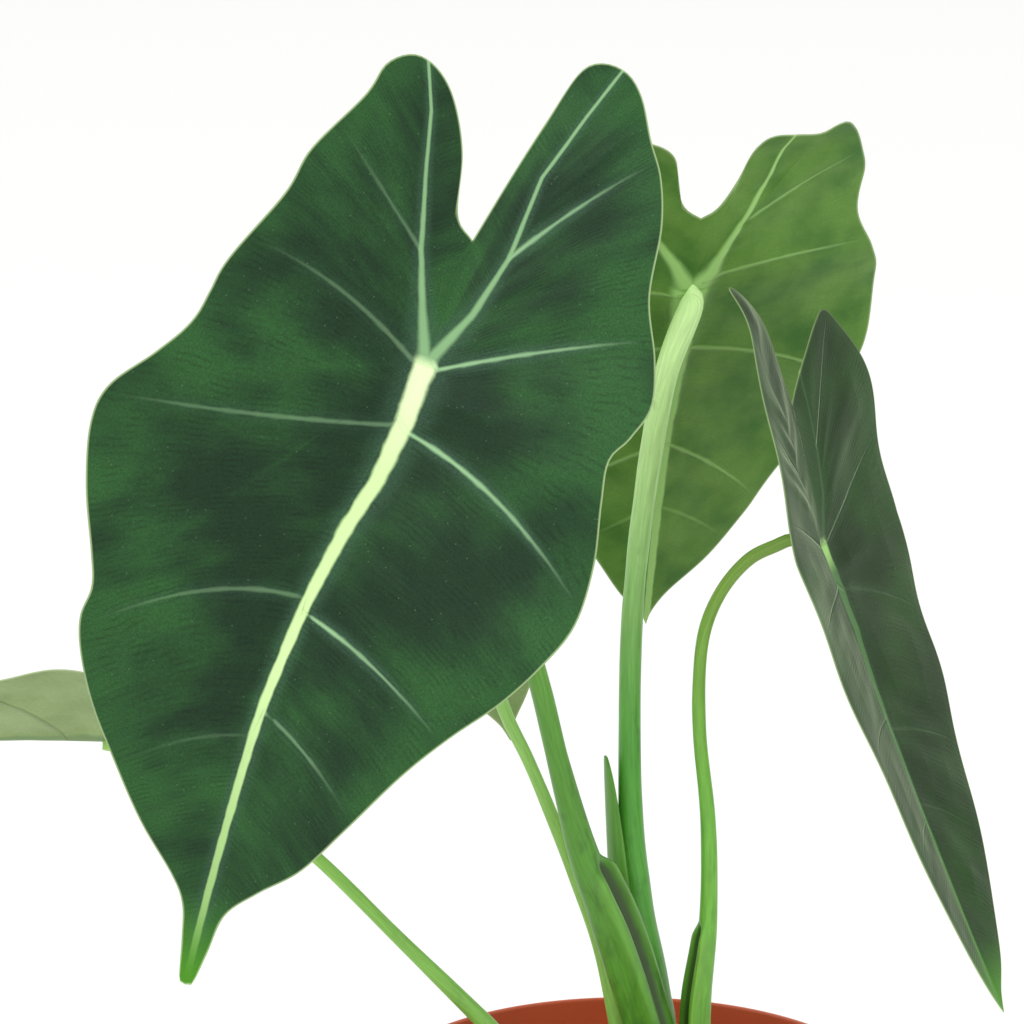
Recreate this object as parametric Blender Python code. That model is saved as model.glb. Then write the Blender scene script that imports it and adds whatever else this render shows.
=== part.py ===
"""A potted alocasia: five arrow-shaped leaves on sheathed stalks, growing from a corm in a plastic pot.

Metres, +Z up. The origin is the middle of the pot's flat base. Azimuth 0 looks along +Y at the front leaf.
Each leaf is a blade and a stalk. A blade is drawn flat, as seen from above with its tip down, in millimetres
from its stalk joint; it is then folded along its midrib, arched, waved and turned to face its own way.
"""

import math

import bpy
import numpy as np

# ---------------------------------------------------------------- driving dimensions
POT_HEIGHT = 0.105
POT_RIM_RADIUS = 0.060  # over the rim's band, a 12 cm pot
POT_BASE_RADIUS = 0.042
POT_WALL = 0.0014
POT_FLOOR = 0.0020
RIM_BAND = 0.013  # height of the band round the rim
RIM_STEP = 0.0026  # how far the band stands out from the pot's side
DRAIN_HOLES = 8
DRAIN_RADIUS = 0.0035
DRAIN_CIRCLE = 0.031  # radius of the circle that the drainage holes stand on

SOIL_BELOW_RIM = 0.014
SOIL_DOME = 0.003  # how much higher the soil is in the middle
CORM_RADIUS = 0.0165
CORM_DEPTH = 0.034
CORM_ABOVE_SOIL = 0.003
CORM_X = 0.007  # the plant stands a little to one side of the pot's axis
CORM_Y = 0.001

PLANT_SCALE = 1.0  # grows all the leaves, with their stalks, about the crown
BLADE_THICKNESS = 0.0009
RIB = 4.0  # millimetres over which a blade's fold is rounded at its midrib
SHEATH_EDGE = 50.0  # degrees from the sheath's open side to each of its edges
SHEATH_EDGE_WIDTH = 24.0
SHEATH_GROOVE = 0.7  # depth of the hollow between the edges, as a share of how far they stand out
SHEATH_SHOULDER = 6.0  # millimetres over which the sheath runs out at its top
CLEARANCE = 0.0003  # between pieces that touch
JOINT_GAP = 0.0005  # between a stalk's end and the blade over it

MM = 0.001
EDGE_ROUNDING = 0.0007  # of the pot
POT_SIDES = 64
DRAIN_SIDES = 12
CORM_SIDES = 28
STALK_SIDES = 14
STALK_STEP = 8  # millimetres between rings along a stalk
EDGE_STEP = 7.5  # millimetres between points round a blade
RINGS = 5
SLOPE_STEP = 0.05  # millimetres over which a blade's slope is measured

SOIL_TOP = POT_HEIGHT - SOIL_BELOW_RIM
CORM_TOP = SOIL_TOP + SOIL_DOME + CORM_ABOVE_SOIL
STALK_FOOT = CORM_TOP + CLEARANCE
CROWN = np.array([CORM_X, CORM_Y, STALK_FOOT]) / MM  # where the leaves grow from, on top of the corm


# ---------------------------------------------------------------- the leaves
# Millimetres, measured from the crown. joint: where stalk and blade meet. faces: azimuth from +Y towards
# +X, and elevation, of the blade's upper side. turn: how far the tip swings round from straight down. fold:
# how steeply each half rises from the midrib. arch and back: the bend from joint to tip, and from joint to
# lobes. wave: height of the margin's waves. right and left: the outline from the notch between the lobes,
# round the lobe, to the tip. stalk: x, y, z and radius along it, from its foot. sheath: the height that the
# sheath reaches, and how far its two edges stand out there and at the foot, as a share of the radius. opens:
# the side that it is open on.
LEAVES = {
    "front": dict(
        joint=(-53.9, -56, 194.7), faces=(177, 12), turn=-21.5, length=150, fold=14, arch=17, back=0,
        bend=-6, wave=1.5, waves=3, curl=1.5, curl_from=56,
        right=[(0, -29), (3, -45), (6, -59), (9, -71), (13, -75), (19, -75), (24, -71), (29, -63),
               (34, -56), (38, -46), (41, -31), (47, -19), (50, -9), (48, -1), (46, 5), (49, 14), (54, 27),
               (56, 40), (53, 51), (48, 62), (41, 73), (34, 85), (26, 101), (19, 114), (11, 123), (5, 131),
               (2, 141), (0, 150)],
        left=[(0, -29), (-5, -33), (-9, -46), (-15, -56), (-21, -61), (-27, -62), (-32, -58), (-34, -50),
              (-41, -35), (-43, -24), (-50, -5), (-51, 8), (-55, 17), (-61, 27), (-61, 36), (-56, 49),
              (-49, 62), (-46, 69), (-46, 76), (-43, 84), (-37, 94), (-29, 104), (-19, 116), (-9, 126),
              (-5, 132), (-2, 140), (0, 150)],
        stalk=[(2, -6, 0, 5), (-1.6, -6, 15.7, 5), (-4.8, -6.3, 27.7, 5), (-11.2, -7.5, 47.7, 4.8),
               (-18.2, -10, 66.7, 3.6), (-24, -15, 89.7, 2.6), (-29, -21, 112.7, 2.4),
               (-37, -32, 143.7, 2.4), (-46, -45, 174.7, 2.5)],
        sheath=(66.7, 0.85, 0.25), opens=(1, -0.3, 0),
    ),
    "young": dict(
        joint=(-44, -3, 140.7), faces=(-12, 17), turn=-12, length=55, fold=18, arch=8, back=0,
        bend=0, wave=0.6, waves=2, curl=0, curl_from=30,
        right=[(0, -9), (3, -17), (7, -24), (11, -25), (14, -20), (17, -12), (19, -2), (20, 8), (18, 20),
               (13, 32), (7, 43), (2, 50), (0, 55)],
        left=[(0, -9), (-3, -17), (-7, -24), (-11, -25), (-14, -20), (-17, -12), (-19, -2), (-20, 8),
              (-18, 20), (-13, 32), (-7, 43), (-2, 50), (0, 55)],
        stalk=[(-7.5, 3, 0, 3.4), (-9, 2, 15.7, 2.5), (-13, 1.4, 36.7, 2.1), (-17.7, 0.8, 51.7, 1.8),
               (-24.8, -0.5, 71.2, 1.6), (-31.1, -3, 87.7, 1.5), (-36.6, -6, 100.7, 1.6),
               (-42, -8.5, 118.7, 1.7)],
        sheath=(20.7, 0.15, 0.15), opens=(0.5, 0.8, 0),
    ),
    "back": dict(
        joint=(6.5, 34, 191.7), faces=(-10, 32), turn=0, length=108, fold=14, arch=9, back=5,
        bend=0, wave=1.5, waves=3, curl=3, curl_from=36,
        right=[(0, -22), (4, -25), (6, -30), (8, -40), (13, -45), (19, -45), (27, -40), (34, -30),
               (38, -17), (42, -5), (46, 8), (48, 24), (44, 40), (36, 56), (27, 70), (19, 81), (13, 90),
               (7, 99), (2, 104), (0, 108)],
        left=[(0, -22), (-4, -25), (-8, -33), (-11, -43), (-14, -48), (-20, -46), (-27, -44), (-32, -48),
              (-36, -43), (-39, -35), (-41, -27), (-41, -14), (-46, -3), (-49, 8), (-49, 28), (-41, 50),
              (-29, 67), (-23, 78), (-15, 89), (-5, 98), (-1, 104), (0, 108)],
        stalk=[(1.5, 7.5, 0, 4.8), (-0.2, 7, 12.7, 4.7), (-2.6, 6, 30.7, 4.4), (-5.7, 5.5, 50.7, 3.7),
               (-7.2, 6, 70.7, 2.9), (-7.6, 7.5, 89.7, 2.6), (-7.3, 10.5, 112.7, 2.5), (-6, 13, 131.7, 2.5),
               (-3, 17.5, 154.7, 2.6), (1, 24, 174.2, 2.8)],
        sheath=(27.7, 0.12, 0.12), opens=(0.4, 1, 0),
    ),
    "right": dict(
        joint=(36.3, -1, 139.1), faces=(111, 14), turn=-4, length=116, fold=8, arch=-21, back=-9,
        bend=11, wave=1, waves=3, curl=2, curl_from=50,
        right=[(0, -33), (5, -37), (13, -43), (22, -49), (28, -51), (33, -46), (38, -37), (40, -26),
               (39, -11), (38, 4), (38, 17), (35, 32), (31, 48), (28, 63), (23, 78), (17, 93), (10, 105),
               (3, 112), (0, 116)],
        left=[(0, -33), (-2, -40), (-4, -49), (-8, -58), (-13, -63), (-17, -62), (-19, -55), (-22, -44),
              (-25, -31), (-26, -18), (-27, -5), (-26, 11), (-25, 29), (-22, 48), (-18, 66), (-14, 84),
              (-8, 100), (-3, 111), (0, 116)],
        stalk=[(11.5, 0, 0, 3.8), (9, 0, 12.7, 3.4), (8.8, 0, 27.7, 2.9), (10.8, -0.5, 47.7, 2.1),
               (10.6, -1, 71.7, 1.8), (8.5, -1, 92.7, 1.6), (8.2, -1, 106.7, 1.5), (9.4, -1, 118.7, 1.5),
               (13.3, -1, 128.3, 1.5), (19.2, -1, 135.5, 1.5), (25.3, -1, 138.8, 1.5), (30, -1, 140.3, 1.5)],
        sheath=(48.7, 0.9, 0.4), opens=(-1, -0.3, 0),
    ),
    "left": dict(
        joint=(-128.5, 11, 89.7), faces=(-1, 70), turn=82, length=105, fold=16, arch=2, back=0,
        bend=0, wave=1.2, waves=3, curl=2, curl_from=40,
        right=[(0, -20), (6, -32), (12, -45), (20, -53), (28, -52), (35, -42), (41, -28), (44, -12),
               (46, 6), (45, 22), (41, 38), (35, 52), (27, 66), (18, 80), (9, 93), (3, 101), (0, 105)],
        left=[(0, -20), (-6, -32), (-12, -45), (-20, -53), (-28, -52), (-35, -42), (-41, -28), (-44, -12),
              (-46, 6), (-45, 22), (-41, 38), (-35, 52), (-27, 66), (-18, 80), (-9, 93), (-3, 101),
              (0, 105)],
        stalk=[(-10.5, -6, 0, 3.7), (-19, -6.5, 5.7, 3.3), (-33, -7, 15.7, 2.7), (-42.5, -8, 26.7, 2.1),
               (-61, -8.5, 46.1, 1.6), (-80.7, -5, 65.3, 1.5), (-100.5, 1, 79.7, 1.5), (-117, 7, 86.7, 1.5)],
        sheath=(24.7, 0.5, 0.2), opens=(0.6, 0, 0.8),
    ),
}

LEAF_COLOURS = {
    "front": (0.035, 0.115, 0.050),
    "young": (0.200, 0.380, 0.140),
    "back": (0.110, 0.240, 0.055),
    "right": (0.080, 0.160, 0.085),
    "left": (0.330, 0.480, 0.230),
}

STALK_COLOURS = {
    "front": (0.130, 0.290, 0.060),
    "young": (0.330, 0.560, 0.180),
    "back": (0.130, 0.330, 0.050),
    "right": (0.280, 0.460, 0.120),
    "left": (0.300, 0.480, 0.150),
}

# The bract is a thin pointed sheath standing against the back leaf's stalk.
BRACT_HEIGHT = 0.0862  # above the crown
BRACT_THICKNESS = 0.0009
BRACT_HALF_ANGLE = 70.0
BRACT_SIDE = (-1.0, -0.25)
BRACT_LEAN = 0.0022  # how far its free point stands away from the stalk
BRACT_CLEARANCE = 0.0008  # from the round stalk, whose sheathed foot is a little wider
BRACT_ROWS = 12
BRACT_POINTS = 5  # across each of its faces


# ---------------------------------------------------------------- scene helpers
def clear_scene():
    for obj in list(bpy.data.objects):
        bpy.data.objects.remove(obj, do_unlink=True)


def material(name, colour, roughness):
    made = bpy.data.materials.new(name)
    made.use_nodes = True
    shader = made.node_tree.nodes["Principled BSDF"]
    shader.inputs["Base Color"].default_value = (*colour, 1.0)
    shader.inputs["Roughness"].default_value = roughness
    made.diffuse_color = (*colour, 1.0)
    return made


def add_object(name, points, faces, finish):
    mesh = bpy.data.meshes.new(name)
    mesh.from_pydata([tuple(p) for p in points], [], faces)
    mesh.materials.append(finish)
    mesh.shade_smooth()
    mesh.set_sharp_from_angle(angle=math.radians(40))
    made = bpy.data.objects.new(name, mesh)
    bpy.context.scene.collection.objects.link(made)
    return made


def cut(obj, cutter):
    modifier = obj.modifiers.new("cut", "BOOLEAN")
    modifier.operation = "DIFFERENCE"
    modifier.object = cutter
    cutter.hide_render = True
    cutter.display_type = "WIRE"


# ---------------------------------------------------------------- curves and directions
def unit(vector):
    vector = np.asarray(vector, float)
    return vector / np.linalg.norm(vector)


def smooth_curve(points, count):
    """count points, evenly spaced along the Catmull-Rom curve through the given ones."""
    p = np.asarray(points, float)
    p = np.vstack([2 * p[0] - p[1], p, 2 * p[-1] - p[-2]])
    u = np.linspace(0, 1, 12, endpoint=False)[:, None]
    fine = []
    for a, b, c, d in zip(p[:-3], p[1:-2], p[2:-1], p[3:]):
        cubic = (3 * b - a - 3 * c + d) * u**3
        fine.append(0.5 * (2 * b + (c - a) * u + (2 * a - 5 * b + 4 * c - d) * u**2 + cubic))
    fine = np.vstack([*fine, p[-2:-1]])
    steps = np.linalg.norm(np.diff(fine[:, :3], axis=0), axis=1)
    along = np.concatenate([[0], np.cumsum(steps)])
    at = np.linspace(0, along[-1], count)
    return np.stack([np.interp(at, along, column) for column in fine.T], axis=1)


def facing(azimuth, elevation, turn):
    """The across, along and upward directions of a blade: upward looks that way, along goes to the tip."""
    a, e, t = np.radians([azimuth, elevation, turn])
    upward = np.array([np.sin(a) * np.cos(e), np.cos(a) * np.cos(e), np.sin(e)])
    straight = unit(np.array([0, 0, -1]) + upward * upward[2])
    along = np.cos(t) * straight + np.sin(t) * np.cross(upward, straight)
    return np.cross(upward, along), along, upward


# ---------------------------------------------------------------- turned pieces
def turned(name, profile, sides, finish, at=(0.0, 0.0)):
    """A solid turned about an upright axis; the profile runs from the axis, outward and up, to the axis."""
    inner = np.array(profile[1:-1])
    angles = np.arange(sides) * 2 * math.pi / sides
    ring = np.stack([np.cos(angles), np.sin(angles)], axis=1)
    points = [(at[0], at[1], profile[0][1]), (at[0], at[1], profile[-1][1])]
    for radius, height in inner:
        points.extend((at[0] + radius * x, at[1] + radius * y, height) for x, y in ring)
    faces = []
    last = 2 + (len(inner) - 1) * sides
    for i in range(sides):
        j = (i + 1) % sides
        faces.append((0, 2 + j, 2 + i))
        faces.append((1, last + i, last + j))
        for row in range(len(inner) - 1):
            low = 2 + row * sides
            faces.append((low + i, low + j, low + sides + j, low + sides + i))
    return add_object(name, points, faces, finish)


def side_radius(height):
    """Outer radius of the pot's side, below its band."""
    top = POT_RIM_RADIUS - RIM_STEP
    return POT_BASE_RADIUS + (top - POT_BASE_RADIUS) * height / POT_HEIGHT


def inner_radius(height):
    """Inner radius of the pot at a height between its floor and its top."""
    if height > POT_HEIGHT - RIM_BAND + POT_WALL:
        return POT_RIM_RADIUS - POT_WALL
    return side_radius(height) - POT_WALL


def make_pot():
    edge = EDGE_ROUNDING
    band = POT_HEIGHT - RIM_BAND
    profile = [
        (0, 0),
        (POT_BASE_RADIUS - 2 * edge, 0),
        (POT_BASE_RADIUS, 2 * edge),
        (side_radius(band), band),
        (POT_RIM_RADIUS - 2 * edge, band),
        (POT_RIM_RADIUS - edge, band + edge),
        (POT_RIM_RADIUS, POT_HEIGHT - 2 * edge),
        (POT_RIM_RADIUS - edge / 2, POT_HEIGHT),
        (POT_RIM_RADIUS - POT_WALL, POT_HEIGHT - edge),
        (POT_RIM_RADIUS - POT_WALL, band + 2 * POT_WALL),
        (side_radius(band) - POT_WALL, band + POT_WALL),
        (side_radius(POT_FLOOR) - POT_WALL, POT_FLOOR + edge),
        (side_radius(POT_FLOOR) - POT_WALL - edge, POT_FLOOR),
        (0, POT_FLOOR),
    ]
    pot = turned("pot", profile, POT_SIDES, material("pot plastic", (0.36, 0.085, 0.030), 0.45))
    points = []
    faces = []
    for hole in range(DRAIN_HOLES):
        turn = 2 * math.pi * hole / DRAIN_HOLES
        x = DRAIN_CIRCLE * math.cos(turn)
        y = DRAIN_CIRCLE * math.sin(turn)
        first = len(points)
        for height in (-POT_FLOOR, 2 * POT_FLOOR):
            for k in range(DRAIN_SIDES):
                a = 2 * math.pi * k / DRAIN_SIDES
                points.append((x + DRAIN_RADIUS * math.cos(a), y + DRAIN_RADIUS * math.sin(a), height))
        low = [first + k for k in range(DRAIN_SIDES)]
        high = [first + DRAIN_SIDES + k for k in range(DRAIN_SIDES)]
        faces.append(low[::-1])
        faces.append(high)
        for k in range(DRAIN_SIDES):
            n = (k + 1) % DRAIN_SIDES
            faces.append((low[k], low[n], high[n], high[k]))
    cut(pot, add_object("drain_cutter", points, faces, material("cutter", (1, 0, 0), 0.5)))


def corm_profile(grow):
    """The corm's outline; grow makes it larger all round, for the hollow that it sits in."""
    low = CORM_TOP - CORM_DEPTH
    radius = CORM_RADIUS + grow
    return [
        (0, low - grow),
        (radius * 0.55, low + CORM_DEPTH * 0.05 - grow),
        (radius * 0.88, low + CORM_DEPTH * 0.25),
        (radius, low + CORM_DEPTH * 0.55),
        (radius, CORM_TOP - CORM_RADIUS * 0.12),
    ]


def make_corm_and_soil():
    top = [(CORM_RADIUS * 0.95, CORM_TOP), (0, CORM_TOP)]
    at = (CORM_X, CORM_Y)
    turned("corm", corm_profile(0) + top, CORM_SIDES, material("corm", (0.10, 0.075, 0.035), 0.8), at)

    floor = POT_FLOOR + CLEARANCE
    corner = POT_WALL + CLEARANCE
    band = POT_HEIGHT - RIM_BAND
    profile = [(0, floor), (inner_radius(floor) - 2 * corner, floor)]
    profile.append((inner_radius(floor + corner) - CLEARANCE, floor + corner))
    if SOIL_TOP < band:
        profile.append((inner_radius(SOIL_TOP) - CLEARANCE, SOIL_TOP))
    else:
        profile.append((inner_radius(band) - CLEARANCE, band))
        profile.append((inner_radius(band) - CLEARANCE, SOIL_TOP))
    profile.append((inner_radius(SOIL_TOP) * 0.6, SOIL_TOP + SOIL_DOME * 0.8))
    profile.append((0, SOIL_TOP + SOIL_DOME))
    soil = turned("soil", profile, POT_SIDES, material("soil", (0.030, 0.019, 0.012), 0.95))
    above = [(CORM_RADIUS + CLEARANCE, CORM_TOP + POT_WALL), (0, CORM_TOP + POT_WALL)]
    finish = material("hollow", (1, 0, 0), 0.5)
    cut(soil, turned("corm_hollow", corm_profile(CLEARANCE) + above, CORM_SIDES, finish, at))


# ---------------------------------------------------------------- blades
def bent(leaf, u, v):
    """Where flat point (u across, v along) of a blade goes, as across, along and upward millimetres."""
    fold = math.radians(leaf["fold"])
    reach = np.sqrt(u * u + RIB * RIB) - RIB
    across = u - np.sign(u) * reach * (1 - math.cos(fold))
    upward = reach * math.sin(fold)
    across = across + leaf["bend"] * np.sin(np.pi * np.clip(v / leaf["length"], 0, 1))
    half_width = max(abs(p[0]) for p in leaf["right"])
    ripple = np.sin(2 * np.pi * leaf["waves"] * v / leaf["length"] + np.sign(u))
    upward = upward + leaf["wave"] * (u / half_width) ** 2 * ripple
    upward = upward - leaf["curl"] * (np.clip(-v - leaf["curl_from"], 0, None) / 10) ** 2
    arch = math.radians(leaf["arch"]) / leaf["length"] ** 2
    back = math.radians(leaf["back"]) / leaf["length"] ** 2
    path = np.linspace(-leaf["length"], 1.1 * leaf["length"], 400)
    slope = np.where(path > 0, arch, -back) * path * leaf["length"]
    step = path[1] - path[0]
    run = np.cumsum(np.cos(slope)) * step
    drop = np.cumsum(np.sin(slope)) * step
    run = np.interp(v, path, run) - np.interp(0, path, run)
    drop = np.interp(v, path, drop) - np.interp(0, path, drop)
    tilt = np.interp(v, path, slope)
    return np.stack([across, run + upward * np.sin(tilt), upward * np.cos(tilt) - drop], axis=-1)


def blade_point(leaf, u, v):
    across, along, upward = facing(*leaf["faces"], leaf["turn"])
    local = bent(leaf, u, v)
    return CROWN + PLANT_SCALE * (np.array(leaf["joint"]) + local @ np.stack([across, along, upward]))


def make_blade(name, leaf):
    outline = np.array(leaf["right"])
    spokes = int(np.linalg.norm(np.diff(outline, axis=0), axis=1).sum() / EDGE_STEP) + 1
    right = smooth_curve(leaf["right"], spokes + 1)
    left = smooth_curve(leaf["left"], spokes + 1)
    edge = np.vstack([right[:-1], left[:0:-1]])
    shares = np.arange(1, RINGS + 1) / RINGS
    flat = np.vstack([[[0, 0]], (shares[:, None, None] * edge).reshape(-1, 2)])
    u, v = flat.T
    middle = blade_point(leaf, u, v)
    du = blade_point(leaf, u + SLOPE_STEP, v) - blade_point(leaf, u - SLOPE_STEP, v)
    dv = blade_point(leaf, u, v + SLOPE_STEP) - blade_point(leaf, u, v - SLOPE_STEP)
    upward = np.cross(dv, du)
    upward /= np.linalg.norm(upward, axis=1)[:, None]
    under = middle * MM - upward * BLADE_THICKNESS / 2
    over = middle * MM + upward * BLADE_THICKNESS / 2
    count = len(edge)
    below = len(flat)
    faces = []
    for i in range(count):
        j = (i + 1) % count
        faces.append((0, 1 + i, 1 + j))
        faces.append((below, below + 1 + j, below + 1 + i))
        for ring in range(RINGS - 1):
            a = 1 + ring * count
            b = a + count
            faces.append((a + i, b + i, b + j, a + j))
            faces.append((below + a + i, below + a + j, below + b + j, below + b + i))
        rim = 1 + (RINGS - 1) * count
        faces.append((rim + i, below + rim + i, below + rim + j, rim + j))
    finish = material(name, LEAF_COLOURS[name.split("_")[0]], 0.55)
    add_object(name, np.vstack([under, over]), faces, finish)


# ---------------------------------------------------------------- stalks
def stalk_stations(leaf, count):
    """Centres, radii, directions and the carried sideways direction at count places up a stalk."""
    upward = facing(*leaf["faces"], leaf["turn"])[2]
    gap = (BLADE_THICKNESS / 2 + JOINT_GAP) / MM
    path = np.array([*leaf["stalk"], (*leaf["joint"], leaf["stalk"][-1][3])]) * PLANT_SCALE
    path[:, :3] += CROWN
    path[-1, :3] -= upward * gap
    path = smooth_curve(path, count)
    centres = path[:, :3]
    tangents = np.gradient(centres, axis=0)
    tangents /= np.linalg.norm(tangents, axis=1)[:, None]
    sideways = []
    side = np.array(leaf["opens"], float)
    for tangent in tangents:
        side = unit(side - tangent * (side @ tangent))
        sideways.append(side)
    return centres, path[:, 3], tangents, np.array(sideways), upward


def make_stalk(name, leaf):
    length = np.linalg.norm(np.diff(np.array(leaf["stalk"])[:, :3], axis=0), axis=1).sum()
    count = int(length / STALK_STEP) + 4
    centres, radii, tangents, sideways, upward = stalk_stations(leaf, count)
    reach, high_edge, low_edge = leaf["sheath"]
    angles = np.arange(STALK_SIDES) * 2 * math.pi / STALK_SIDES
    off = (angles + math.pi) % (2 * math.pi) - math.pi
    width = math.radians(SHEATH_EDGE_WIDTH)
    edges = np.exp(-(((np.abs(off) - math.radians(SHEATH_EDGE)) / width) ** 2))
    groove = np.exp(-((off / width) ** 2))
    height = (centres[:, 2] - CROWN[2]) / PLANT_SCALE
    stand_out = low_edge + (high_edge - low_edge) * np.clip(height / reach, 0, 1)
    sheathed = (np.clip((reach - height) / SHEATH_SHOULDER, 0, 1) * stand_out)[:, None]
    radius = radii[:, None] * (1 + sheathed * (edges - SHEATH_GROOVE * groove))
    third = np.cross(tangents, sideways)
    spread = np.cos(angles)[:, None] * sideways[:, None] + np.sin(angles)[:, None] * third[:, None]
    points = centres[:, None] + radius[..., None] * spread

    # Both ends are mitred: the foot lies flat on the corm, and the top follows the blade's underside.
    blend = np.linspace(0, 1, count)[:, None]
    for end, plane in ((0, np.array([0, 0, 1.0])), (-1, upward)):
        direction = tangents[end]
        slide = ((centres[end] - points[end]) @ plane) / (direction @ plane)
        nearness = np.clip(1 - np.abs(blend - (0 if end == 0 else 1)) * count / 4, 0, 1)
        points = points + (nearness * slide)[..., None] * tangents[:, None]

    rings = points.reshape(-1, 3) * MM
    last = (count - 1) * STALK_SIDES
    faces = [tuple(range(STALK_SIDES))[::-1], tuple(last + k for k in range(STALK_SIDES))]
    for row in range(count - 1):
        for k in range(STALK_SIDES):
            n = (k + 1) % STALK_SIDES
            low = row * STALK_SIDES
            faces.append((low + k, low + n, low + STALK_SIDES + n, low + STALK_SIDES + k))
    add_object(name, rings, faces, material(name, STALK_COLOURS[name.split("_")[0]], 0.45))


def make_bract():
    """A crescent section that follows the back leaf's stalk, narrows to a point and leans off it."""
    centres, radii, _, _, _ = stalk_stations(LEAVES["back"], 120)
    up = np.linspace(0, 1, BRACT_ROWS)
    heights = CROWN[2] + up * BRACT_HEIGHT * PLANT_SCALE / MM
    centre = np.stack([np.interp(heights, centres[:, 2], centres[:, k]) for k in range(3)], axis=1)
    stand_off = (BRACT_CLEARANCE + BRACT_LEAN * up**3) * PLANT_SCALE / MM
    inner = np.interp(heights, centres[:, 2], radii) + stand_off
    thick = BRACT_THICKNESS * PLANT_SCALE / MM * (1 - 0.6 * up**3)
    opening = math.radians(BRACT_HALF_ANGLE) * np.sqrt(1 - 0.97 * up**1.5)
    facing_side = math.atan2(BRACT_SIDE[1], BRACT_SIDE[0])
    spread = np.linspace(-1, 1, BRACT_POINTS)
    rings = []
    for k in range(BRACT_ROWS):
        angle = facing_side + spread * opening[k]
        outward = np.stack([np.cos(angle), np.sin(angle), np.zeros(BRACT_POINTS)], axis=1)
        rings.append(centre[k] + outward * (inner[k] + thick[k]))
        rings.append(centre[k] + outward[::-1] * inner[k])
    points = np.vstack(rings) * MM
    size = 2 * BRACT_POINTS
    last = (BRACT_ROWS - 1) * size
    faces = [tuple(range(size))[::-1], tuple(last + k for k in range(size))]
    for row in range(BRACT_ROWS - 1):
        for k in range(size):
            n = (k + 1) % size
            faces.append((row * size + k, row * size + n, (row + 1) * size + n, (row + 1) * size + k))
    add_object("bract", points, faces, material("bract", (0.20, 0.36, 0.08), 0.5))


# ---------------------------------------------------------------- the plant
clear_scene()
make_pot()
make_corm_and_soil()
for leaf_name, leaf_values in LEAVES.items():
    make_stalk(leaf_name + "_stalk", leaf_values)
    make_blade(leaf_name + "_blade", leaf_values)
make_bract()
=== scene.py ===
import math

import bpy
import numpy as np
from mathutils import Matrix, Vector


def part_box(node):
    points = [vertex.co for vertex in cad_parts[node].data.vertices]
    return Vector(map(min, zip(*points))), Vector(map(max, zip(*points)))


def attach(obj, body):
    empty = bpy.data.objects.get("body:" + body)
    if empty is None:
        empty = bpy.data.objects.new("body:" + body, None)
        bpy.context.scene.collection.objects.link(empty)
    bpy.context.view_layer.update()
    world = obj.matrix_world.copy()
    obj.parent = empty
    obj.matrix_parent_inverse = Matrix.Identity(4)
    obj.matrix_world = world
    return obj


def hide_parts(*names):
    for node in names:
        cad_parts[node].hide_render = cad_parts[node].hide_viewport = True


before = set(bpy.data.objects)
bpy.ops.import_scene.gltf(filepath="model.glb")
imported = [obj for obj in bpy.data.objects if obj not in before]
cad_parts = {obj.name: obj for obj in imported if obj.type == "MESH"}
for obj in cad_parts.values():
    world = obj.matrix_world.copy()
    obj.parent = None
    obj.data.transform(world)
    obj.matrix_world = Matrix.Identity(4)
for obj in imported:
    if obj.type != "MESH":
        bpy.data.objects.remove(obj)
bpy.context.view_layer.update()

# A young alocasia in a plastic nursery pot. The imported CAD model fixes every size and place. Lengths below
# are millimetres, and make_piece turns them to metres.
MM = 0.001

# ==================================================================== the pot
# A thin nursery pot, injection moulded in one piece from terracotta-coloured polypropylene: a tapered side, a
# plain band round the rim, and eight round drainage holes through a flat base.
POT_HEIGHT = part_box("pot")[1][2] / MM
POT_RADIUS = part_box("pot")[1][0] / MM
POT_WALL = 1.4
POT_FLOOR = 2.0
POT_BAND = 13.0
BAND_STEP = 2.6
BASE_RADIUS = 42.0
EDGE_ROUNDING = 0.65
POT_SIDES = 160
DRAIN_HOLES = 8
DRAIN_RADIUS = 3.5
DRAIN_CIRCLE = 31.0
DRAIN_SIDES = 32


def unit(vectors):
    """Each vector divided by its own length."""
    vectors = np.asarray(vectors, float)
    return vectors / np.maximum(np.linalg.norm(vectors, axis=-1, keepdims=True), 1e-12)


def side_radius(height):
    """Outer radius of the pot below its band: a straight taper from the base to the rim."""
    return BASE_RADIUS + (POT_RADIUS - BAND_STEP - BASE_RADIUS) * height / POT_HEIGHT


def rounded(profile, radius, steps=5):
    """The profile with each corner cut back by up to radius and replaced by a quadratic curve."""
    p = np.array(profile, float)
    rows = [p[:1]]
    t = np.linspace(0, 1, steps)[:, None]
    for before, corner, after in zip(p[:-2], p[1:-1], p[2:]):
        reach = min(radius, 0.45 * np.linalg.norm(corner - before), 0.45 * np.linalg.norm(after - corner))
        start = corner + reach * unit(before - corner)
        end = corner + reach * unit(after - corner)
        rows.append((1 - t) ** 2 * start + 2 * t * (1 - t) * corner + t**2 * end)
    return np.vstack([*rows, p[-1:]])


def ring_faces(rows, cols, first=0):
    """Four-sided faces of a grid whose columns close into a ring, numbered row by row from vertex first."""
    r, c = np.meshgrid(np.arange(rows - 1), np.arange(cols), indexing="ij")
    n = (c + 1) % cols
    corners = [r * cols + c, r * cols + n, (r + 1) * cols + n, (r + 1) * cols + c]
    return first + np.stack(corners, axis=-1).reshape(-1, 4)


def fan_faces(centre, first, cols):
    """Three-sided faces from a centre vertex to each side of the ring that starts at vertex first."""
    c = np.arange(cols)
    return np.stack([np.full(cols, centre), first + c, first + (c + 1) % cols], axis=1)


def tube_faces(rows, cols):
    """Faces of a closed tube: vertices 0 and 1 are its poles, and its rows of cols vertices follow them."""
    last = 2 + (rows - 1) * cols
    return [fan_faces(0, 2, cols)[:, ::-1], fan_faces(1, last, cols), ring_faces(rows, cols, 2)]


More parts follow.
